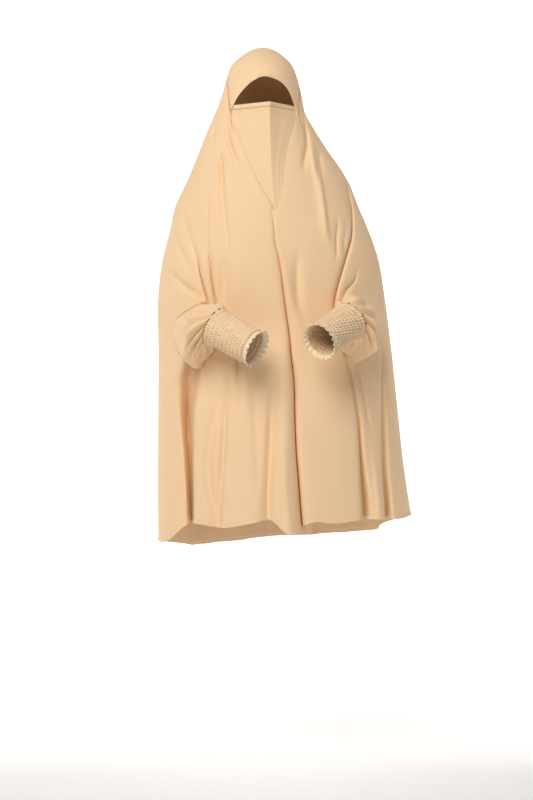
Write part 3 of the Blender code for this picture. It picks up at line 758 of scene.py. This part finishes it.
@dataclass(frozen=True)
class StudioPaper:
    """White seamless backdrop paper: matt, evenly lit."""
    name: str = "backdrop_paper"
    white: str = "FCFCFC"

    def material(self) -> bpy.types.Material:
        """Builds the material, with the faint cloudiness of paper."""
        made = bpy.data.materials.new(self.name)
        made.use_nodes = True
        shader = made.node_tree.nodes["Principled BSDF"]
        shader.inputs["Roughness"].default_value = 0.95
        shader.inputs["Specular IOR Level"].default_value = 0.1
        place = add_node(made, "ShaderNodeTexCoord")
        cloud = add_node(made, "ShaderNodeTexNoise", Vector=place.outputs["Object"], Scale=2.0)
        colour = add_node(made, "ShaderNodeMix", {"data_type": "RGBA"}, at0=cloud.outputs["Fac"],
                          at6=linear("FAFAFA"), at7=linear(self.white))
        made.node_tree.links.new(colour.outputs[2], shader.inputs["Base Color"])
        return made


CAPE_CREPE = Crepe("beige_crepe_hemmed", "F7D8B1", "EFCCA3", sewing=Sewing.TURNED_HEM)
SLEEVE_CREPE = Crepe("beige_crepe", "F7D8B1", "EFCCA3")
VEIL_CREPE = Crepe("beige_veil_crepe", "F5D6B0", "EECCA4", pebble_mm=1.4)
CASING_CREPE = Crepe("beige_veil_casing", "F6D9B4", "EECDA5", sewing=Sewing.CASING, stitch_mm=2.6)
ROLLED_CREPE = Crepe("beige_rolled_edge", "F7DBB7", "EFCFA8", pebble_mm=0.9)
SMOCKED_CREPE = Crepe("cream_smocked_crepe", "F8E0C0", "E2C49C", pebble_mm=1.2)
FRILL_CREPE = Crepe("cream_frill_crepe", "F8E6CA", "EED6B2", pebble_mm=1.0)


# ---- the pieces ----

@dataclass(frozen=True)
class EdgePoint:
    """A point of the face opening's edge."""
    drop: float
    turn: float


OPENING = [
    EdgePoint(0.077, 3), EdgePoint(0.084, 24), EdgePoint(0.098, 38), EdgePoint(0.118, 46),
    EdgePoint(0.141, 50), EdgePoint(0.160, 45), EdgePoint(0.185, 35), EdgePoint(0.215, 25),
    EdgePoint(0.256, 17), EdgePoint(0.310, 13), EdgePoint(0.345, 10), EdgePoint(0.366, 7),
    EdgePoint(0.345, 4), EdgePoint(0.310, -2), EdgePoint(0.262, -11), EdgePoint(0.213, -21),
    EdgePoint(0.180, -30), EdgePoint(0.156, -36.5), EdgePoint(0.139, -38.5),
    EdgePoint(0.118, -34.5), EdgePoint(0.099, -25), EdgePoint(0.085, -13),
]
OPENING_POINT = max(OPENING, key=lambda p: p.drop)


def opening_line(steps: int) -> np.ndarray:
    """Closed smooth line of drops and turns round the face opening.

    Args:
        steps: points between two rows of the table.

    Returns:
        Array of points by drop and turn, clockwise from the forehead, the first not repeated.
    """
    table = np.array([(p.drop, p.turn) for p in OPENING])
    before, after, beyond = (np.roll(table, k, axis=0) for k in (1, -1, -2))
    line = []
    for t in np.arange(steps) / steps:
        line.append(0.5 * (2 * table + (after - before) * t
                           + (2 * before - 5 * table + 4 * after - beyond) * t * t
                           + (3 * table - before - 3 * after + beyond) * t**3))
    return np.stack(line, 1).reshape(-1, 2)


def edge_turn(drop: np.ndarray, side: int) -> np.ndarray:
    """Turn of the opening's edge at a drop.

    Args:
        drop: drops.
        side: -1 for the left edge and 1 for the right.

    Returns:
        Turns in degrees.
    """
    line = opening_line(12)
    deepest = int(line[:, 0].argmax())
    run = line[:deepest + 1] if side > 0 else np.vstack([line[deepest:], line[:1]])[::-1]
    return np.interp(drop, run[:, 0], run[:, 1])


@dataclass
class Sleeve:
    """One puffed sleeve with its smocked cuff and its frill."""
    name: str
    form: DrapedForm
    root_drop: float
    root_turn: float
    cuff_drop: float
    cuff_turn: float
    stand_off: float
    root_way: tuple
    cuff_way: tuple
    root_inset: float = 0.030
    arm_reach: float = 0.06
    cuff_reach: float = 0.03
    puff_tall: float = 0.068
    puff_wide: float = 0.050
    cuff_length: float = 0.100
    cuff_radius: float = 0.037
    elastic_rows: int = 10
    puckers: int = 42
    pucker_height: float = 0.0018
    row_height: float = 0.0024
    frill_length: float = 0.012
    frill_flare: float = 0.0045
    frill_waves: int = 19
    frill_wave: float = 0.0019
    gather_height: float = 0.0030
    cloth: float = 0.0011
    flat_girth: float = 0.38
    flat_length: float = 0.17
    looks: int = 1
    cuff_flare: float = 0.005
    phase: float = 0.0

    # Creases: degrees up from the side seen, at the cuff and at their end, share of the way to the
    # cuff where they end, width in degrees, depth in mm.
    CREASES = ((8, -36, 0.50, 6, 7.5), (-22, -62, 0.56, 6, 7.0), (-48, -84, 0.64, 6, 5.5),
               (-74, -106, 0.60, 7, 6.0), (-104, -130, 0.66, 7, 5.0), (36, 4, 0.44, 7, 5.0),
               (62, 40, 0.36, 8, 4.5), (88, 74, 0.50, 7, 4.5), (116, 100, 0.55, 7, 4.0),
               (146, 132, 0.60, 7, 4.0), (176, 168, 0.55, 8, 4.5), (-140, -156, 0.60, 8, 4.5))

    # Along, tall, wide, sag and gather: shares of the sleeve's length, of its sizes and of the gathers.
    RINGS = ((0.00, 0.80, 0.80, 0.00, 0.0), (0.18, 0.90, 0.92, 0.06, 0.0), (0.36, 0.98, 1.02, 0.12, 0.2),
             (0.54, 0.99, 1.08, 0.16, 0.5), (0.70, 0.97, 1.06, 0.17, 0.8), (0.84, 0.86, 0.97, 0.13, 1.0),
             (0.94, 0.70, 0.87, 0.06, 1.0), (1.00, 0.618, 0.84, 0.00, 0.7))

    def cuff_frame(self) -> tuple[np.ndarray, np.ndarray, np.ndarray, np.ndarray]:
        """Start of the cuff, its direction, and the two directions across it."""
        point, out = self.form.bare(np.array(self.cuff_drop), np.array(self.cuff_turn))
        way = np.array(self.cuff_way) / np.linalg.norm(self.cuff_way)
        side = np.cross(way, (0, 0, 1))
        side /= np.linalg.norm(side)
        return point + out * self.stand_off, way, side, np.cross(side, way)

    def sleeve_points(self, rows: int, columns: int, swell: float = 0.0,
                      plain: bool = False) -> np.ndarray:
        """Points of the sleeve from inside the cape to its cuff.

        Args:
            rows: number of rows along it.
            columns: number of columns round it.
            swell: how far outside its face.
            plain: true to leave out its gathers and creases.

        Returns:
            Array of rows by columns of points, the first column repeated at the end.
        """
        start, out = self.form.bare(np.array(self.root_drop), np.array(self.root_turn))
        start = start - out * self.root_inset
        end, way, _, _ = self.cuff_frame()
        root_way = np.array(self.root_way) / np.linalg.norm(self.root_way)
        guides = (start, start + root_way * self.arm_reach, end - way * self.cuff_reach, end)
        table = np.array(self.RINGS)
        angle = np.linspace(0, 2 * math.pi, columns + 1)
        rings = []
        for t in np.linspace(0, 1, rows + 1):
            tall, wide, sag, gather = (float(curve_through(np.array(t), table[:, 0], table[:, k]))
                                       for k in (1, 2, 3, 4))
            weights = ((1 - t)**3, 3 * t * (1 - t)**2, 3 * t * t * (1 - t), t**3)
            centre = sum(g * w for g, w in zip(guides, weights))
            centre = centre - np.array((0, 0, sag * self.puff_tall))
            facing = root_way * (1 - t) + way * t
            facing /= np.linalg.norm(facing)
            side = np.cross(facing, (0, 0, 1))
            side /= np.linalg.norm(side)
            up = np.cross(side, facing)
            relief = np.zeros_like(angle)
            if not plain:
                relief += self.creases(t, angle)
                close = float(ease(t, 0.42, 1.0))
                drift = angle + 0.25 * math.sin(5 * t + self.phase)
                relief += self.gather_height * close * (
                    0.6 * np.abs(np.cos(8.5 * drift + self.phase))
                    + 0.4 * np.abs(np.cos(6.5 * drift + 1.7 + self.phase)) - 0.62)
                middle = math.sin(math.pi * min(max((t - 0.12) / 0.86, 0), 1))
                relief += 0.0050 * middle * np.cos(3 * angle + 7.5 * t + self.phase)
                relief += 0.0034 * middle * np.cos(5 * angle - 9 * t + 2 * self.phase)
                under = np.exp(-((wrapped(np.degrees(angle) + 90)) / 55) ** 2)
                relief += 0.006 * middle * under * math.cos(26 * t + self.phase)
            radius_wide = self.puff_wide * wide + swell + relief
            radius_tall = self.puff_tall * tall + swell + relief
            rings.append(centre + side * (np.cos(angle) * radius_wide)[:, None]
                         + up * (np.sin(angle) * radius_tall)[:, None])
        return np.array(rings)

    def creases(self, t: float, angle: np.ndarray) -> np.ndarray:
        """Relief of the creases that the elastic thread sends back into the puff.

        Args:
            t: share of the way to the cuff.
            angle: places round the sleeve.

        Returns:
            How far the cloth stands out, in metres.
        """
        relief = np.zeros_like(angle)
        for at_cuff, at_end, start, width, depth in self.CREASES:
            along = float(np.clip((1 - t) / (1 - start), 0, 1.2))
            line = at_cuff + (at_end - at_cuff) * along ** 0.8
            away = wrapped(np.degrees(angle) * self.looks - line + (0 if self.looks > 0 else 180))
            spread = width * (1 + 0.7 * along)
            deep = 1.7 * depth * MM * float(ease(along, 1.1, 0.55)) * (1 - 0.35 * float(ease(along, 0.3, 0.0)))
            relief -= deep * (np.exp(-(away / spread) ** 2) - 0.45 * np.exp(-((away - 1.9 * spread) / spread) ** 2))
        return relief

    def outer_tree(self) -> BVHTree:
        """Tree of the sleeve's closed outer shape and its clearance, for the armhole."""
        points = self.sleeve_points(48, 72, swell=self.cloth + 0.0004)
        bm = mapped_grid(points, lengths_of(points))
        bmesh.ops.holes_fill(bm, edges=bm.edges)
        bmesh.ops.recalc_face_normals(bm, faces=bm.faces)
        tree = BVHTree.FromBMesh(bm)
        bm.free()
        return tree

    def make_sleeve(self) -> bpy.types.Object:
        """Builds the puffed sleeve with its gathers."""
        points = self.sleeve_points(84, 190)
        bm = mapped_grid(points, lengths_of(points))
        bmesh.ops.recalc_face_normals(bm, faces=bm.faces)
        facing_out(bm, Vector(points[:, :-1].mean((0, 1))))
        piece = finished(f"{self.name}_sleeve_cloth", bm, SLEEVE_CREPE.material(),
                         f"{self.name}_sleeve")
        give_wall(piece, self.cloth)
        return piece

    def make_cuff(self) -> bpy.types.Object:
        """Builds the cuff: rows of elastic thread with the cloth puckered between them."""
        start, way, side, up = self.cuff_frame()
        rows, columns = self.elastic_rows * 8, self.puckers * 5
        angle = np.linspace(0, 2 * math.pi, columns + 1)
        rings = []
        for k in range(rows + 1):
            t = k / rows
            row = t * self.elastic_rows
            puff = abs(math.sin(math.pi * row)) ** 0.8
            turn = math.pi * (int(row) % 2) + 0.6 * math.sin(2.1 * int(row) + self.phase)
            pucker = np.cos(self.puckers * angle + turn) + 0.35 * np.cos(
                (self.puckers - 11) * angle + 2.3 * int(row) + self.phase)
            slack = 0.0012 * np.cos(3 * angle + 4 * t + self.phase) * math.sin(math.pi * t)
            radius = (self.cuff_radius - 0.0010 + self.row_height * puff
                      + self.pucker_height * pucker * (0.35 + 0.65 * puff) + slack
                      + self.cuff_flare * math.exp(-t / 0.14))
            centre = start + way * (0.0008 + (self.cuff_length - 0.0008) * t)
            rings.append(centre + side * (np.cos(angle) * radius)[:, None]
                         + up * (np.sin(angle) * radius)[:, None])
        points = np.array(rings)
        bm = mapped_grid(points, lengths_of(points))
        bmesh.ops.recalc_face_normals(bm, faces=bm.faces)
        facing_out(bm, Vector(points[:, :-1].mean((0, 1))))
        piece = finished(f"{self.name}_cuff_smocking", bm, SMOCKED_CREPE.material(),
                         f"{self.name}_cuff")
        give_wall(piece, self.cloth)
        return piece

    def make_frill(self) -> bpy.types.Object:
        """Builds the frill, its edge stretched into waves by the overlocking."""
        start, way, side, up = self.cuff_frame()
        angle = np.linspace(0, 2 * math.pi, self.frill_waves * 16 + 1)
        rings = []
        for t in np.linspace(0, 1, 9):
            wave = self.frill_wave * t * (np.cos(self.frill_waves * angle + 0.5 * self.phase)
                                          + 0.4 * np.cos((self.frill_waves + 4) * angle + self.phase))
            radius = self.cuff_radius - 0.0008 + self.frill_flare * t**2 + wave
            reach = (self.cuff_length + 0.0008 + self.frill_length * t
                     + 0.0016 * t * np.sin(self.frill_waves * angle + 1.0))
            centre = start + way * reach[:, None]
            rings.append(centre + side * (np.cos(angle) * radius)[:, None]
                         + up * (np.sin(angle) * radius)[:, None])
        points = np.array(rings)
        bm = mapped_grid(points, lengths_of(points))
        bmesh.ops.recalc_face_normals(bm, faces=bm.faces)
        facing_out(bm, Vector(points[:, :-1].mean((0, 1))))
        piece = finished(f"{self.name}_frill_cloth", bm, FRILL_CREPE.material(),
                         f"{self.name}_frill")
        give_wall(piece, self.cloth)
        return piece

    def build(self) -> None:
        """Builds the whole sleeve."""
        self.make_sleeve()
        self.make_cuff()
        self.make_frill()


@dataclass
class Cape:
    """Hood and cape in one cloth, with its turned hem and the rolled edge of its face opening."""
    form: DrapedForm
    sleeves: list[Sleeve]
    columns: int = 316
    crown_rows: int = 14
    body_rows: int = 120
    hem_rows: int = 9
    crown_drop: float = 0.105
    hem_height: float = 0.0095
    hem_swell: float = 0.0009
    cloth: float = 0.0011
    edge_radius: float = 0.0011
    ripple: float = 0.0011

    def row_drops(self) -> np.ndarray:
        """Drops of the rows, from the crown to the hem, close together at the hem."""
        crown = self.crown_drop * (1 - np.cos(math.pi / 2 * np.arange(self.crown_rows) / self.crown_rows))
        start = 1 - 1.6 * self.hem_height / self.form.front_length
        body = np.linspace(self.crown_drop, start, self.body_rows + 1)[:-1]
        return np.concatenate([crown, body, np.linspace(start, 1, self.hem_rows)])

    def cloth_points(self, drop: np.ndarray, turn: np.ndarray) -> np.ndarray:
        """Points of the outer face, with its hem and the faint ripples of a soft cloth.

        Args:
            drop: drops.
            turn: turns in degrees, of the same shape.

        Returns:
            The points.
        """
        above = (1 - drop) * self.form.front_length
        swell = self.hem_swell * (1 - ease(above, self.hem_height * 0.92, self.hem_height * 1.05))
        swell = swell - 0.0005 * np.exp(-((above - self.hem_height) / 0.0011) ** 2)
        points = self.form.points(drop, turn)
        out = self.form.bare(drop, turn)[1]
        flat = points.reshape(-1, 3)
        ripples = np.array([noise.noise(Vector((p[0] * 26, p[1] * 26, p[2] * 5))) for p in flat])
        ripples = ripples.reshape(drop.shape) * self.ripple * ease(drop, 0.05, 0.3)
        return points + out * (swell + ripples)[..., None]

    def cut_opening(self, drop: np.ndarray, turn: np.ndarray) -> np.ndarray:
        """Finds the cloth inside the face opening and brings its rim to the edge.

        Args:
            drop: the grid's drops, changed in place at the rim.
            turn: the grid's turns, changed in place at the rim.

        Returns:
            True where the cloth is cut away.
        """
        line = opening_line(10)
        scale = np.array([self.form.front_length, math.radians(1) * 0.1])
        poly, spots = line * scale, np.stack([drop, turn], -1) * scale
        inside = np.zeros(drop.shape, bool)
        for a, b in zip(poly, np.roll(poly, -1, axis=0)):
            crosses = (a[0] > spots[..., 0]) != (b[0] > spots[..., 0])
            with np.errstate(divide="ignore", invalid="ignore"):
                at = a[1] + (spots[..., 0] - a[0]) / (b[0] - a[0]) * (b[1] - a[1])
            inside ^= crosses & (spots[..., 1] < at)
        out = ~inside
        beside = np.zeros_like(inside)
        for rows in (-1, 0, 1):
            for columns in (-1, 0, 1):
                beside |= np.roll(out, (rows, columns), (0, 1))
        fine = opening_line(60)
        for at in np.argwhere(inside & beside):
            spot = np.array([drop[tuple(at)], turn[tuple(at)]]) * scale
            nearest = int(((fine * scale - spot) ** 2).sum(1).argmin())
            drop[tuple(at)], turn[tuple(at)] = fine[nearest]
        return inside

    def cut_armholes(self, points: np.ndarray) -> np.ndarray:
        """Finds the cloth inside the sleeves and brings its rim to their surface.

        Args:
            points: the grid's points, changed in place at the rim.

        Returns:
            True where the cloth is cut away.
        """
        gone = np.zeros(points.shape[:2], bool)
        for sleeve in self.sleeves:
            tree = sleeve.outer_tree()
            rings = sleeve.sleeve_points(8, 24)
            low, high = rings.min((0, 1)) - 0.01, rings.max((0, 1)) + 0.01
            close = ((points > low) & (points < high)).all(-1)
            inside = np.zeros_like(gone)
            for at in np.argwhere(close):
                place, normal, _, _ = tree.find_nearest(Vector(points[tuple(at)]))
                inside[tuple(at)] = (Vector(points[tuple(at)]) - place).dot(normal) < 0
            beside = np.zeros_like(inside)
            for rows in (-1, 0, 1):
                for columns in (-1, 0, 1):
                    beside |= np.roll(~inside, (rows, columns), (0, 1))
            for at in np.argwhere(inside & beside):
                points[tuple(at)] = tree.find_nearest(Vector(points[tuple(at)]))[0]
            gone |= inside
        return gone

    def build(self) -> bpy.types.Object:
        """Builds the cape and the rolled edge of its opening.

        Returns:
            The cape.
        """
        drops = self.row_drops()
        turn = np.array([self.form.column_turns(float(d), self.columns) for d in drops])
        drop = np.repeat(drops[:, None], self.columns + 1, axis=1)
        gone = self.cut_opening(drop, turn)
        points = self.cloth_points(drop, turn)
        points[:, -1] = points[:, 0]
        lengths = lengths_of(points)
        lengths[..., 1] = (1 - drop) * self.form.front_length
        gone |= self.cut_armholes(points)
        bm = mapped_grid(points, lengths, gone)
        facing_out(bm, Vector((0, 0, -0.5)))
        cape = finished("cape_cloth", bm, CAPE_CREPE.material(), "cape")
        give_wall(cape, self.cloth)
        edge = self.rolled_edge()
        return cape

    def rolled_edge(self) -> bpy.types.Object:
        """Builds the rolled edge round the face opening, nipped by its stitches."""
        line = opening_line(24)
        points = self.form.points(line[:, 0], line[:, 1], inside=self.cloth / 2)
        out = self.form.bare(line[:, 0], line[:, 1])[1]
        ring = tube_points(np.vstack([points[-2:], points, points[:3]]), np.vstack([out[-2:], out, out[:3]]),
                           self.edge_radius, self.edge_radius, 10, lobes=176, lobe_depth=0.16)[2:-2]
        ring[-1] = ring[0]
        bm = mapped_grid(ring, lengths_of(ring))
        bmesh.ops.recalc_face_normals(bm, faces=bm.faces)
        return finished("face_binding_roll", bm, ROLLED_CREPE.material(), "face_binding")


@dataclass
class Veil:
    """Face veil behind the edges of the opening, with the sewn casing along its top."""
    form: DrapedForm
    top: float = 0.1355
    casing: float = 0.010
    casing_thick: float = 0.0018
    setback: float = 0.0026
    tuck: float = 0.012
    tail: float = 0.025
    nose_reach: float = 0.127
    nose_aside: float = 0.015
    ridge_round: float = 0.14
    bridge_round: float = 0.40
    seam_gap: float = 0.0008
    cloth: float = 0.0011
    rows: int = 96
    columns: int = 90

    def points(self, drops: np.ndarray, shares: np.ndarray) -> np.ndarray:
        """Points of the veil's outer face.

        Args:
            drops: drops of the rows.
            shares: places across, -1 and 1 at the edges of the opening and 0 over the nose.

        Returns:
            Array of rows by columns of points.
        """
        low = np.minimum(drops, OPENING_POINT.drop)
        grid = np.zeros((len(drops), len(shares), 3))
        down = (low - self.top) / (OPENING_POINT.drop - self.top)
        chest = self.form.points(np.array(OPENING_POINT.drop), np.array(OPENING_POINT.turn), self.setback)
        run = down ** 2
        ridge = np.stack([self.nose_aside + (chest[0] - self.nose_aside) * run,
                          -self.nose_reach + (chest[1] + self.nose_reach) * down, np.zeros_like(down)], -1)
        below = self.form.points(drops, np.full_like(drops, OPENING_POINT.turn), self.setback)
        ridge = np.where((drops > OPENING_POINT.drop)[:, None], below, ridge)
        soft = self.ridge_round + self.bridge_round * (1 - ease(down, 0.0, 0.35))
        for j, share in enumerate(shares):
            side = 1 if share > 0 else -1
            turn = edge_turn(low, side)
            edge = self.form.points(drops, turn, self.setback)
            if abs(share) > 1:
                turn = turn + side * np.degrees((abs(share) - 1) / np.hypot(edge[:, 0], edge[:, 1]))
                grid[:, j] = self.form.points(drops, turn, self.setback)
                continue
            away = (np.sqrt(share * share + soft**2) - soft) / (np.sqrt(1 + soft**2) - soft)
            middle = ridge.copy()
            middle[:, 2] = edge[:, 2]
            grid[:, j] = middle + (edge - middle) * away[:, None]
            grid[:, j, 1] -= self.creases(down, share)
        return grid

    def creases(self, down: np.ndarray, share: float) -> np.ndarray:
        """Relief of the veil's soft folds, which run from its upper corners towards the point.

        Args:
            down: share of the way from the top to the point, by row.
            share: place across.

        Returns:
            How far each point stands forward, in metres.
        """
        fade = (1 - share * share) * ease(down, 0.0, 0.12) * (1 - ease(down, 0.8, 1.0))
        relief = np.zeros_like(down)
        for start, end, width, height in ((-0.86, -0.30, 0.10, 0.0012), (-0.62, -0.10, 0.10, -0.0008),
                                          (0.84, 0.34, 0.10, 0.0010), (0.60, 0.22, 0.10, -0.0008)):
            line = start + (end - start) * down
            relief += height * np.exp(-((share - line) / width) ** 2)
        return relief * fade * (1 - down)

    def build(self) -> None:
        """Builds the veil and its casing."""
        hem_end = self.top + self.casing / self.form.front_length
        drops = np.linspace(hem_end + self.seam_gap / self.form.front_length,
                            OPENING_POINT.drop + self.tail / self.form.front_length, self.rows + 1)
        shares = np.concatenate([[-1 - self.tuck, -1 - self.tuck / 2],
                                 np.sin(np.linspace(-1, 1, self.columns - 3) * math.pi / 2),
                                 [1 + self.tuck / 2, 1 + self.tuck]])
        grid = self.points(drops, shares)
        bm = mapped_grid(grid, lengths_of(grid))
        facing_out(bm, Vector((0, 0.1, -0.25)))
        veil = finished("face_veil_cloth", bm, VEIL_CREPE.material(), "face_veil")
        give_wall(veil, self.cloth)
        casing = self.make_casing(shares)

    def make_casing(self, shares: np.ndarray) -> bpy.types.Object:
        """Builds the casing: cloth turned over and sewn down along the top of the veil.

        Args:
            shares: places across.

        Returns:
            The casing.
        """
        sides = 20
        angle = np.linspace(0, 2 * math.pi, sides + 1)
        up = np.sign(np.cos(angle)) * np.abs(np.cos(angle)) ** 0.55
        out = np.sign(np.sin(angle)) * np.abs(np.sin(angle)) ** 0.8
        middle = self.top + self.casing / 2 / self.form.front_length
        drops = middle - up * self.casing / 2 / self.form.front_length
        rings = self.points(drops, shares)
        stitch = -0.35 * np.exp(-((up + 0.72) / 0.16) ** 2) * (out > 0)
        rings[..., 1] -= ((out + stitch) * self.casing_thick / 2)[:, None] - self.casing_thick / 2
        rings = rings.transpose(1, 0, 2)
        lengths = lengths_of(rings)
        lengths = np.stack([lengths[..., 1], np.broadcast_to((1 - up) / 2 * self.casing,
                                                             lengths.shape[:2])], -1)
        bm = mapped_grid(rings, lengths)
        bmesh.ops.holes_fill(bm, edges=bm.edges)
        bmesh.ops.recalc_face_normals(bm, faces=bm.faces)
        return finished("veil_casing", bm, CASING_CREPE.material(), "veil_hem")


@dataclass
class Studio:
    """White seamless studio: backdrop, softboxes and the camera of the front view."""
    view: FrontView
    floor: float = -1.59
    wall: float = 5.2
    curve: float = 1.2
    half_wide: float = 7.0

    def backdrop(self) -> None:
        """Builds the seamless backdrop: a floor that curves up into a wall."""
        bm = bmesh.new()
        foot = self.wall - self.curve
        line = [bm.verts.new((-self.half_wide, y, self.floor)) for y in (-6.0, foot)]
        for angle in np.linspace(0, math.pi / 2, 13)[1:]:
            line.append(bm.verts.new((-self.half_wide, foot + self.curve * math.sin(angle),
                                      self.floor + self.curve * (1 - math.cos(angle)))))
        line.append(bm.verts.new((-self.half_wide, self.wall, 6.0)))
        edges = [bm.edges.new(pair) for pair in zip(line, line[1:])]
        swept = bmesh.ops.extrude_edge_only(bm, edges=edges)
        bmesh.ops.translate(bm, vec=(2 * self.half_wide, 0, 0),
                            verts=[v for v in swept["geom"] if isinstance(v, bmesh.types.BMVert)])
        bmesh.ops.recalc_face_normals(bm, faces=bm.faces)
        facing_out(bm, Vector((0, 8, -6)))
        mesh = bpy.data.meshes.new("backdrop")
        bm.to_mesh(mesh)
        bm.free()
        mesh.shade_smooth()
        mesh.materials.append(StudioPaper().material())
        paper = bpy.data.objects.new("backdrop", mesh)
        bpy.context.scene.collection.objects.link(paper)

    def softbox(self, name: str, place: tuple, aim: tuple, size: tuple, watts: float,
                tint: str = "FFFFFF") -> None:
        """Hangs a softbox.

        Args:
            name: its name.
            place: where it hangs.
            aim: the point it faces.
            size: its width and height in metres.
            watts: its power.
            tint: its colour.
        """
        light = bpy.data.lights.new(name, "AREA")
        light.shape = "RECTANGLE"
        light.size, light.size_y = size
        light.energy = watts
        light.color = linear(tint)[:3]
        box = bpy.data.objects.new(name, light)
        box.location = place
        box.rotation_euler = (Vector(aim) - Vector(place)).to_track_quat("-Z", "Y").to_euler()
        bpy.context.scene.collection.objects.link(box)

    def build(self) -> None:
        """Builds the studio."""
        self.backdrop()
        scene = bpy.context.scene
        world = bpy.data.worlds.new("studio_air")
        world.use_nodes = True
        world.node_tree.nodes["Background"].inputs["Color"].default_value = (1, 1, 1, 1)
        world.node_tree.nodes["Background"].inputs["Strength"].default_value = 0.12
        scene.world = world
        middle = (0.0, 0.0, -0.6)
        self.softbox("key", (-1.2, -2.8, 1.7), middle, (2.0, 2.2), 110, "FFFAF2")
        self.softbox("fill", (1.8, -3.2, 0.4), middle, (1.6, 2.0), 14)
        for name, side in (("wall_left", -1), ("wall_right", 1)):
            self.softbox(name, (side * 2.7, 1.5, 0.8), (side * 0.6, self.wall, -0.9), (1.0, 2.4), 190)
        camera = bpy.data.cameras.new("front")
        camera.lens = self.view.lens_mm
        camera.sensor_width = self.view.sensor_mm
        camera.clip_end = 60
        eye = bpy.data.objects.new("front", camera)
        eye.location = (self.view.across, -self.view.back, self.view.height)
        eye.rotation_euler = (math.radians(90), 0, 0)
        scene.collection.objects.link(eye)
        scene.camera = eye
        scene.view_settings.view_transform = "Standard"


def main() -> None:
    """Dresses the frame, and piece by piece."""
    logging.basicConfig(level=logging.INFO, format="%(name)s: %(message)s")
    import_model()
    view = FrontView()
    form = DrapedForm(view)
    sleeves = [
        Sleeve("right_arm", form, 0.606, -50, 0.600, -22, 0.058, (0.50, -0.86, -0.10),
               (0.80, -0.42, -0.43), flat_length=0.17, phase=0.4),
        Sleeve("left_arm", form, 0.600, 48, 0.592, 36, 0.062, (0.05, -0.99, -0.10),
               (-0.61, -0.67, -0.41), flat_length=0.14, looks=-1, phase=2.1),
    ]
    Cape(form, sleeves).build()
    for sleeve in sleeves:
        sleeve.build()
    Veil(form).build()
    Studio(view).build()


if __name__ == "__main__":
    main()
